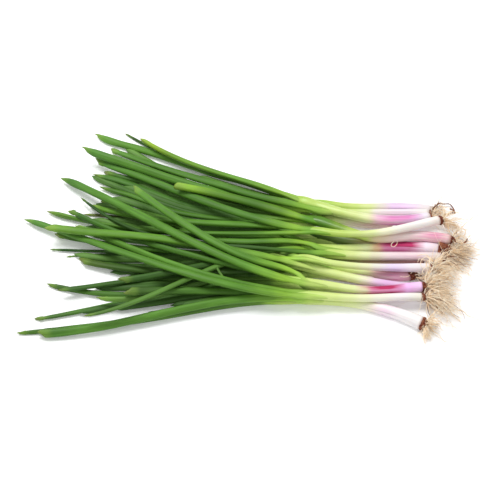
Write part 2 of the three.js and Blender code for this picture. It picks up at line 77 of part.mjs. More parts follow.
  leaf_10b: { colour: 0x5d8c44, line: [[-104.5, -71.73, 17.65, 1.15], [-94.12, -70.12, 17.66, 2.34], [-83.75, -68, 17.69, 2.39], [-73.37, -65.49, 17.68, 2.44], [-62.98, -62.65, 17.55, 2.49], [-52.54, -59.74, 17.42, 2.52], [-42, -57.42, 17.92, 2.53], [-31.5, -53.83, 16.58, 2.54], [-20.95, -49.34, 13.7, 2.55], [-10.25, -45.53, 11.02, 2.56], [0.58, -43.93, 10.25, 2.56], [11.46, -43.92, 10.42, 2.43], [22.34, -45.55, 11.43, 1.98], [33.13, -49.52, 13.97, 1.5], [43.97, -52.59, 13.95, 1.27]] },
  leaf_10c: { colour: 0x5d8c44, line: [[-169.14, -63.42, 1.91, 0.96], [-158.16, -66.89, 2.29, 1.95], [-147.17, -69.94, 2.76, 1.99], [-136.23, -72.48, 3.21, 2.03], [-125.27, -74.71, 3.97, 2.07], [-114.38, -76.41, 4.75, 2.1], [-103.55, -77.5, 5.5, 2.1], [-92.81, -77.92, 6.18, 2.1], [-82.15, -77.65, 6.72, 2.1], [-71.55, -76.68, 7.01, 2.1], [-61, -75.12, 7.06, 2.1], [-50.48, -72.95, 6.77, 2.1], [-39.91, -70.87, 6.88, 2.11], [-29.41, -67.2, 5.21, 2.11], [-18.84, -63.74, 4, 2.12], [-8.22, -60.39, 3.04, 2.13], [2.43, -57.04, 2.24, 2.13], [13.08, -53.99, 2.05, 2.05], [23.7, -50.61, 1.75, 1.75], [34.27, -46.87, 1.44, 1.44], [44.78, -42.85, 1.29, 1.29]] },
  leaf_11a: { colour: 0x5c8a4a, line: [[-168.27, 58.17, 4.56, 1.49], [-156.5, 49.28, 7.13, 3.05], [-144.93, 40.28, 9.7, 3.12], [-133.55, 31.23, 12.26, 3.19], [-122.36, 22.15, 14.79, 3.26], [-111.36, 13.12, 17.27, 3.3], [-100.53, 4.18, 19.66, 3.28], [-89.89, -4.59, 21.92, 3.26], [-79.42, -13.1, 23.97, 3.24], [-69.1, -21.25, 25.72, 3.21], [-58.93, -29.16, 27.33, 3.19], [-48.92, -36.1, 27.96, 3.18], [-39, -42.57, 28.25, 3.16], [-29.14, -48.58, 28.23, 3.15], [-19.31, -54.08, 27.91, 3.14], [-9.47, -59.18, 27.49, 3.13], [0.4, -63.49, 26.51, 3.13], [10.33, -67.19, 25.28, 3.12], [20.36, -70.43, 24, 2.92], [30.5, -73.25, 22.8, 2.27], [40.77, -75.69, 21.79, 1.57], [51.19, -77.78, 21.07, 1.24]] },
  leaf_11b: { colour: 0x6a9a4c, line: [[-99.11, 26.73, 24.32, 2.44], [-89, 16.49, 25.31, 2.95], [-78.95, 6.39, 26.29, 3.03], [-68.95, -3.48, 27.26, 3.1], [-58.98, -13.01, 28.17, 3.18], [-49.04, -22.1, 28.98, 3.2], [-39.11, -30.61, 29.59, 3.19], [-29.15, -38.54, 30.1, 3.17], [-19.17, -45.29, 29.86, 3.16], [-9.06, -50.96, 29.12, 3.14], [1.26, -55.51, 27.99, 3.14], [11.88, -58.62, 26.22, 3.14], [22.76, -60.93, 24.44, 3], [33.45, -63.43, 22.59, 2.35], [43.35, -67.47, 20.76, 1.61], [51.84, -74.35, 19.05, 1.25]] },
  leaf_11c: { colour: 0x5d8c44, line: [[-156.55, 15.24, 7.82, 1], [-145.36, 7.35, 8.67, 2.04], [-134.19, 0.09, 9.44, 2.08], [-123.01, -6.73, 10.31, 2.11], [-111.84, -13.15, 11.26, 2.15], [-100.67, -19.25, 12.33, 2.17], [-89.51, -25.03, 13.47, 2.16], [-78.34, -30.73, 14.93, 2.15], [-67.19, -36.39, 16.69, 2.14], [-56.1, -41.74, 18.4, 2.13], [-45.07, -46.77, 20, 2.12], [-34.12, -51.37, 21.29, 2.11], [-23.23, -56.09, 22.91, 2.1], [-12.46, -58.62, 21.99, 2.1], [-1.71, -61.23, 21.23, 2.1], [9, -63.88, 20.55, 2.09], [19.68, -66.36, 19.64, 2.02], [30.3, -68.75, 18.56, 1.73], [40.88, -71.09, 17.31, 1.41], [51.39, -73.33, 15.79, 1.25]] },
  leaf_12a: { colour: 0x69984a, line: [[-195.81, 9.18, 2.98, 1.44], [-184.1, 2.99, 4.75, 2.92], [-172.52, -3.25, 6.51, 2.95], [-161.06, -9.54, 8.29, 2.98], [-149.71, -15.86, 10.08, 3.01], [-138.48, -22.18, 11.9, 3.03], [-127.36, -28.49, 13.73, 3.01], [-116.34, -34.76, 15.57, 3], [-105.44, -40.95, 17.4, 2.98], [-94.64, -47.01, 19.19, 2.97], [-83.94, -52.87, 20.88, 2.95], [-73.34, -58.48, 22.41, 2.94], [-62.84, -63.7, 23.65, 2.92], [-52.44, -68.25, 24.28, 2.91], [-42.1, -72.39, 24.64, 2.9], [-31.83, -75.54, 24.02, 2.9], [-21.57, -78.31, 23.22, 2.9], [-11.29, -80.62, 22.17, 2.9], [-0.99, -82.54, 20.98, 2.89], [9.35, -84.11, 19.75, 2.89], [19.73, -85.32, 18.54, 2.72], [30.17, -86.24, 17.48, 2.15], [40.66, -86.92, 16.7, 1.53], [51.19, -87.4, 16.33, 1.24]] },
  leaf_12b: { colour: 0x5d8c44, line: [[-149.67, -1.67, 7.09, 1.1], [-138.43, -9.1, 9.08, 2.23], [-127.31, -16.48, 11.06, 2.27], [-116.31, -23.77, 13.04, 2.3], [-105.41, -31.03, 15.11, 2.33], [-94.62, -38.06, 17.1, 2.35], [-83.95, -44.81, 18.98, 2.33], [-73.38, -51.17, 20.64, 2.32], [-62.9, -57.14, 22.13, 2.31], [-52.53, -62.24, 22.88, 2.3], [-42.21, -66.66, 23.17, 2.29], [-31.95, -69.96, 22.45, 2.29], [-21.67, -72.81, 21.54, 2.29], [-11.35, -75.2, 20.43, 2.29], [-0.99, -77.17, 19.2, 2.28], [9.43, -78.79, 17.92, 2.28], [19.9, -80.14, 16.73, 2.18], [30.44, -81.22, 15.6, 1.82], [41.04, -82.05, 14.59, 1.43], [51.71, -82.66, 13.75, 1.25]] },
  leaf_12c: { colour: 0x5d8c44, line: [[-98.59, -84.39, 19.12, 2.61], [-88.02, -83.42, 18.19, 2.9], [-77.41, -82.51, 17.26, 2.9], [-66.77, -81.7, 16.36, 2.91], [-56.12, -80.76, 15.18, 2.91], [-45.45, -79.76, 13.82, 2.92], [-34.73, -78.95, 12.59, 2.92], [-23.97, -78.31, 11.45, 2.92], [-13.19, -77.9, 10.47, 2.93], [-2.38, -77.75, 9.7, 2.93], [8.44, -77.92, 9.19, 2.93], [19.26, -78.27, 8.79, 2.77], [30.06, -79.16, 8.93, 2.19], [40.83, -80.36, 9.34, 1.55], [51.57, -81.57, 9.6, 1.25]] },
  leaf_13a: { colour: 0x5d8c44, line: [[-168.39, -117.22, 4.46, 2.61], [-157.83, -116.76, 4.79, 3.03], [-147.38, -115.81, 5.14, 2.98], [-137, -114.43, 5.5, 2.94], [-126.68, -112.68, 5.87, 2.9], [-116.4, -110.62, 6.26, 2.87], [-106.14, -108.33, 6.66, 2.88], [-95.89, -105.85, 7.07, 2.88], [-85.63, -103.26, 7.49, 2.88], [-75.35, -100.61, 7.92, 2.89], [-65.04, -97.97, 8.35, 2.89], [-54.7, -95.4, 8.77, 2.9], [-44.31, -92.96, 9.18, 2.9], [-33.88, -90.71, 9.55, 2.9], [-23.39, -88.7, 9.88, 2.91], [-12.85, -86.98, 10.13, 2.91], [-2.25, -85.58, 10.27, 2.91], [8.41, -84.56, 10.25, 2.92], [19.13, -84.07, 10.21, 2.75], [29.92, -83.87, 9.73, 2.18], [40.78, -84.11, 8.94, 1.55], [51.68, -85.34, 8.43, 1.25]] },
  leaf_13b: { colour: 0x5d8c44, line: [[-173.86, -100.33, 1.92, 0.87], [-163.45, -98.25, 1.95, 1.82], [-153.05, -95.89, 1.99, 1.89], [-142.64, -93.34, 2.03, 1.97], [-132.21, -90.65, 2.06, 2.04], [-121.73, -87.9, 2.09, 2.09], [-111.21, -85.15, 2.1, 2.09], [-100.63, -82.48, 2.11, 2.1], [-89.98, -79.96, 2.1, 2.1], [-79.26, -77.67, 2.1, 2.1], [-68.47, -75.66, 2.11, 2.11], [-57.62, -73.94, 2.11, 2.11], [-46.72, -72.57, 2.11, 2.11], [-35.77, -71.57, 2.11, 2.11], [-24.79, -70.98, 2.11, 2.11], [-13.77, -71.3, 2.72, 2.11], [-2.76, -72.04, 3.26, 2.11], [8.23, -73.33, 3.85, 2.11], [19.19, -75.12, 4.4, 2.03], [30.1, -77.45, 4.92, 1.74], [40.97, -80.15, 5.16, 1.41], [51.79, -83.12, 4.93, 1.25]] },
  leaf_13c: { colour: 0x5d8c44, line: [[-188.23, -114.62, 1.58, 0.66], [-177.86, -113.71, 1.73, 1.52], [-167.5, -112.7, 1.87, 1.72], [-157.14, -111.6, 2.01, 1.92], [-146.8, -110.38, 2.14, 2.12], [-136.47, -109.06, 2.27, 2.27], [-126.15, -107.57, 2.31, 2.27], [-115.84, -105.97, 2.34, 2.27], [-105.53, -104.25, 2.36, 2.28], [-95.22, -102.39, 2.36, 2.28], [-84.9, -100.42, 2.35, 2.28], [-74.58, -98.31, 2.34, 2.28], [-64.24, -96.09, 2.33, 2.29], [-53.9, -93.75, 2.33, 2.29], [-43.53, -91.37, 2.33, 2.29], [-33.12, -89.03, 2.33, 2.3], [-22.66, -86.84, 2.33, 2.3], [-12.15, -84.89, 2.33, 2.3], [-1.58, -83.26, 2.31, 2.31], [9.05, -82.04, 2.31, 2.31], [19.74, -81.14, 2.2, 2.2], [30.47, -80.46, 1.83, 1.84], [41.23, -80.36, 1.7, 1.44], [52.01, -80.71, 1.62, 1.26]] },
};

// One closed solid with a ring of points at each row of its line and a flat end at each side.
// A ring's first point is its highest, so a ring never twists against the next one.
function sweep(line, sides) {
  const centres = line.map((r) => new THREE.Vector3(r[0], r[1], r[2]).multiplyScalar(SCALE));
  const last = centres.length - 1;
  const up = new THREE.Vector3(0, 0, 1);
  const positions = [];
  const faces = [];
  centres.forEach((centre, i) => {
    const along = centres[Math.min(i + 1, last)].clone().sub(centres[Math.max(i - 1, 0)]).normalize();
    const u = up.clone().addScaledVector(along, -up.dot(along)).normalize();
    const v = along.clone().cross(u);
    for (let k = 0; k < sides; k++) {
      const a = (2 * Math.PI * k) / sides;
      const p = centre.clone().addScaledVector(u, line[i][3] * SCALE * Math.cos(a)).addScaledVector(v, line[i][3] * SCALE * Math.sin(a));
      positions.push(p.x, p.y, p.z);
    }
  });
  for (let i = 0; i < last; i++)
    for (let k = 0; k < sides; k++) {
      const a = i * sides + k, b = i * sides + ((k + 1) % sides);
      faces.push(a, b, b + sides, a, b + sides, a + sides);
    }
  for (let k = 1; k < sides - 1; k++) {
    faces.push(0, k + 1, k);
    faces.push(last * sides, last * sides + k, last * sides + k + 1);
  }
  const geometry = new THREE.BufferGeometry();
  geometry.setAttribute("position", new THREE.Float32BufferAttribute(positions, 3));
  geometry.setIndex(faces);
  geometry.computeVertexNormals();
  return geometry;
}

const bunch = new THREE.Group();
bunch.name = "spring_onion_bunch";

function grow(rows, sides, roughness) {
  for (const [name, row] of Object.entries(rows)) {
    const mesh = new THREE.Mesh(sweep(row.line, sides), new THREE.MeshStandardMaterial({ color: row.colour, roughness, metalness: 0 }));
    mesh.name = name;
    bunch.add(mesh);
  }
}

grow(SHANKS, SHANK_SIDES, SHANK_ROUGHNESS);
grow(ROOTS, ROOT_SIDES, ROOT_ROUGHNESS);
grow(LEAVES, LEAF_SIDES, LEAF_ROUGHNESS);

export default bunch;
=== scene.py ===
# A bunch of thirteen spring onions lying on a pale table: the finish of every leaf, shank and root.
import bpy
import math
import numpy as np
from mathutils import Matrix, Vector


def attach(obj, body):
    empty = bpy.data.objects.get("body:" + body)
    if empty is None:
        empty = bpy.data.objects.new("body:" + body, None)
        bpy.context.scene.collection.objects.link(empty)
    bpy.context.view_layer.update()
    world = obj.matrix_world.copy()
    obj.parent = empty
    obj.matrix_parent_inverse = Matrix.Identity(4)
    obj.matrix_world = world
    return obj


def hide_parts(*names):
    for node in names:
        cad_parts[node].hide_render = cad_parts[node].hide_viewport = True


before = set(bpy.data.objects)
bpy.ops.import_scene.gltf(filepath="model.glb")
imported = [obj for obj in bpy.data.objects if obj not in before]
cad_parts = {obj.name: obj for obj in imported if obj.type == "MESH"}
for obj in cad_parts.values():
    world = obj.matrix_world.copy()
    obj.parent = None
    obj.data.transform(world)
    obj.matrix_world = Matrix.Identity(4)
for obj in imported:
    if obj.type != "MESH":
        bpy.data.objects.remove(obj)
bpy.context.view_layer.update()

# ---------------------------------------------------------------- measured lines
# millimetres, [x, y, z, radius]: shanks and roots from the foot outwards, leaves from the tip to the neck
ORIGIN = (-3.32988, 23.7947, 0.02)
SHANKS = {
    "shank_01": [(165.99, 19.66, 3.68, 3.17), (154.28, 21.85, 3.8, 3.68), (142.38, 22.79, 3.98, 3.53), (130.38, 22.98, 4.13, 3.39), (118.33, 22.77, 4.28, 3.24), (106.3, 22.6, 4.38, 3.09), (94.29, 22.63, 4.71, 3.04), (82.32, 23.18, 5.35, 3.04), (70.47, 25.02, 5.88, 3.04)],
    "shank_02": [(163.17, 12.66, 6.65, 3.33), (151.66, 13.56, 6, 3.87), (140.1, 14.2, 5.42, 3.82), (128.51, 14.76, 4.82, 3.78), (116.89, 15.21, 4.32, 3.74), (105.22, 15.42, 4.14, 3.69), (93.52, 15.53, 4.24, 3.67), (81.84, 15.8, 4.4, 3.67), (70.26, 17.17, 3.68, 3.68)],
    "shank_03": [(161.97, 5, 10.84, 3.86), (150.42, 2.02, 11.3, 4.46), (139.06, 0.41, 11.69, 4.36), (127.85, 0.06, 11.99, 4.27), (116.79, 0.85, 12.2, 4.18), (105.85, 2.67, 12.29, 4.1), (95, 5.42, 12.25, 4.06), (84.24, 8.93, 12.1, 4.07), (73.58, 13.29, 11.64, 4.08), (62.95, 18, 11.29, 4.09), (52.28, 21.57, 12.52, 4.1)],
    "shank_04": [(168.65, -5.32, 18.5, 3.81), (156.74, -9.31, 19.17, 4.42), (144.9, -13.37, 19.7, 4.3), (133.14, -17.16, 20.15, 4.05), (121.49, -20.07, 20.22, 3.82), (109.9, -21.94, 20.11, 3.58), (98.34, -22.64, 19.89, 3.34), (86.8, -22.21, 19.56, 3.34), (75.26, -20.69, 19.15, 3.34), (63.73, -18.14, 18.72, 3.35)],
    "shank_05": [(177.92, -19.84, 9.18, 3.8), (166.39, -18.54, 10.03, 4.42), (154.88, -17.54, 10.76, 4.42), (143.22, -17.6, 11.35, 4.33), (131.38, -19.03, 11.73, 4.18), (119.62, -20.32, 11.93, 4.04), (108.27, -19.32, 11.78, 3.9), (97.29, -15.97, 11.56, 3.79), (86.51, -11.05, 11.22, 3.81), (75.77, -5.43, 10.83, 3.82), (64.94, 0.02, 10.43, 3.84)],
    "shank_06": [(168.13, -27.61, 4.63, 3.98), (157.26, -25.5, 4.63, 4.63), (146.28, -24.39, 4.56, 4.56), (135.22, -24.01, 4.38, 4.38), (124.08, -24.39, 4.41, 4.2), (112.85, -25.48, 4.85, 4.02), (101.63, -26.78, 5.41, 3.83), (90.41, -28.15, 6.2, 3.78), (79.22, -29.48, 7.36, 3.77), (68.13, -29.86, 8.11, 3.77)],
    "shank_07": [(168.86, -36.59, 5.1, 3.42), (158.08, -36.38, 5.69, 3.97), (147.28, -36.49, 6.29, 3.95), (136.46, -36.81, 6.91, 3.86), (125.64, -37.23, 7.55, 3.77), (114.84, -37.64, 8.19, 3.68), (104.07, -37.9, 8.82, 3.59), (93.35, -37.89, 9.41, 3.54), (82.67, -37.44, 9.9, 3.54), (71.98, -36.94, 10.9, 3.54)],
    "shank_08": [(157.17, -52.49, 10.66, 3.72), (145.51, -53.17, 11.68, 4.28), (133.87, -53.91, 12.69, 4.04), (122.26, -54.58, 13.7, 3.81), (110.7, -55.04, 14.71, 3.57), (99.21, -55.18, 15.73, 3.34), (87.81, -54.85, 16.73, 3.28), (76.49, -53.86, 17.67, 3.28), (65.28, -52, 18.43, 3.28), (54.17, -48.97, 18.84, 3.28)],
    "shank_09": [(140.62, -55.75, 3.87, 3.32), (129.28, -56.8, 3.9, 3.77), (118.16, -56.35, 3.93, 3.68), (107.18, -54.76, 3.93, 3.6), (96.28, -52.42, 3.92, 3.52), (85.39, -49.76, 3.93, 3.53), (74.45, -47.18, 4, 3.53), (63.42, -45.13, 4.19, 3.54)],
    "shank_10": [(151.17, -70.06, 4.1, 3.52), (140.33, -69.74, 4.91, 4.04), (129.59, -69.04, 5.9, 3.95), (118.92, -67.98, 6.99, 3.87), (108.33, -66.6, 8.19, 3.78), (97.79, -64.91, 9.44, 3.7), (87.32, -62.93, 10.65, 3.68), (76.89, -60.59, 11.72, 3.69), (66.51, -57.85, 12.49, 3.69), (56.11, -55.32, 13.66, 3.7), (45.74, -52.22, 14.19, 3.7)],
    "shank_11": [(148.61, -73.76, 12.03, 3.67), (137.91, -74.87, 12.12, 4.11), (127.19, -76.4, 12.3, 3.89), (116.52, -77.79, 12.52, 3.67), (105.88, -78.7, 13.01, 3.46), (95.33, -78.53, 13.62, 3.24), (84.83, -77.49, 14.37, 3.24), (74.35, -76.04, 15.25, 3.24), (63.87, -74.65, 16.27, 3.24), (53.37, -73.8, 17.4, 3.24)],
    "shank_12": [(147.46, -83.69, 10.4, 3.13), (136.94, -83.85, 10.89, 3.6), (126.39, -84.51, 11.37, 3.56), (115.84, -85.39, 11.82, 3.51), (105.34, -86.05, 12.06, 3.47), (94.87, -86.38, 12.28, 3.42), (84.44, -86.11, 12.43, 3.42), (74.04, -85.39, 12.57, 3.42), (63.64, -84.39, 12.73, 3.43), (53.23, -83.28, 12.93, 3.43)],
    "shank_13": [(145.64, -107.77, 5.59, 4.81), (136.37, -102.32, 5.44, 5.31), (126.76, -97.58, 5.3, 4.92), (116.87, -93.44, 5.08, 4.52), (106.73, -89.94, 4.85, 4.11), (96.37, -87.07, 4.65, 3.69), (85.83, -84.89, 4.57, 3.65), (75.16, -83.3, 4.54, 3.65), (64.4, -82.31, 4.6, 3.66), (53.6, -81.83, 4.68, 3.66)],
}
ROOTS = {
    "roots_01": [(166.43, 19.58, 3.68, 2.39), (168.15, 19.25, 3.66, 2.82), (171.78, 21.05, 3.2, 2.73), (175.27, 22.11, 2.95, 2.64), (178.85, 21.79, 2.71, 2.3), (182.43, 21.47, 2.46, 1.48)],
    "roots_02": [(163.61, 12.63, 6.67, 2.21), (165.36, 12.49, 6.77, 2.6), (168.62, 11.88, 6.82, 2.5), (171.85, 10.97, 6.85, 2.41), (175.18, 8.9, 6.84, 2.08), (178.5, 6.85, 6.81, 1.33)],
    "roots_03": [(162.41, 5.12, 10.83, 2.19), (164.1, 5.55, 10.76, 2.58), (166.97, 3.55, 9.81, 2.48), (169.78, 2.34, 9.25, 2.39), (173.03, -0.97, 8.68, 2.06), (176.26, -4.26, 8.11, 1.32)],
    "roots_04": [(169.08, -5.17, 18.47, 2.67), (170.74, -4.62, 18.38, 3.14), (175.23, -5.47, 16.91, 2.9), (179.42, -5.99, 16.06, 2.66), (183.93, -9.57, 15.18, 2.17), (188.42, -13.13, 14.31, 1.3)],
    "roots_05": [(178.36, -19.89, 9.15, 2.83), (180.1, -20.08, 9.02, 3.33), (184.18, -18.69, 7.23, 3.1), (188.08, -18.2, 6.2, 2.86), (192.02, -19.31, 5.14, 2.37), (195.96, -20.41, 4.08, 1.44)],
    "roots_06": [(168.57, -27.7, 4.63, 2.99), (170.29, -28.03, 4.63, 3.51), (175.72, -28.05, 4.24, 3.23), (181.09, -28.86, 4, 2.95), (186.43, -31.74, 3.73, 2.4), (191.75, -34.61, 3.46, 1.43)],
    "roots_07": [(169.31, -36.6, 5.08, 2.64), (171.06, -36.63, 4.98, 3.11), (175.56, -37.86, 3.93, 2.87), (179.98, -39.56, 3.35, 2.63), (184.31, -43.81, 2.76, 2.15), (188.62, -48.04, 2.18, 1.29)],
    "roots_08": [(157.62, -52.46, 10.62, 2.77), (159.36, -52.36, 10.47, 3.25), (164.85, -52.52, 8.59, 3.03), (170.26, -52.93, 7.54, 2.8), (176.79, -56.73, 6.49, 2.31), (183.31, -60.51, 5.43, 1.4)],
    "roots_09": [(141.07, -55.71, 3.86, 2.28), (142.81, -55.55, 3.86, 2.69), (146.78, -56.17, 3.41, 2.49), (150.83, -56.51, 3.15, 2.3), (155.41, -57.92, 2.88, 1.9), (159.99, -59.34, 2.6, 1.15)],
    "roots_10": [(151.61, -70.07, 4.06, 2.26), (153.36, -70.12, 3.93, 2.66), (157.27, -71.31, 2.99, 2.47), (161.23, -72.26, 2.57, 2.28), (165.45, -76.78, 2.2, 1.88), (169.63, -81.31, 1.89, 1.13)],
    "roots_11": [(149.06, -73.72, 12.02, 2.72), (150.8, -73.54, 12.01, 3.2), (156.71, -73.42, 11.2, 2.93), (162.69, -72.83, 10.79, 2.65), (170.13, -74.36, 10.36, 2.14), (177.56, -75.87, 9.92, 1.26)],
    "roots_12": [(147.91, -83.68, 10.38, 2.71), (149.65, -83.65, 10.3, 3.19), (155.16, -85.37, 9.47, 2.97), (159.98, -88.45, 9.06, 2.74), (163.73, -93.16, 8.7, 2.52), (166.18, -99.05, 8.38, 2.29), (167.11, -105.71, 8.09, 1.86), (166.3, -112.72, 7.86, 1.11)],
    "roots_13": [(146.03, -108, 5.6, 3.46), (147.54, -108.89, 5.62, 4.07), (151.13, -109.32, 4.89, 3.72), (154.67, -110.21, 4.43, 3.37), (159.58, -111.1, 3.91, 2.72), (164.5, -111.95, 3.33, 1.6)],
}
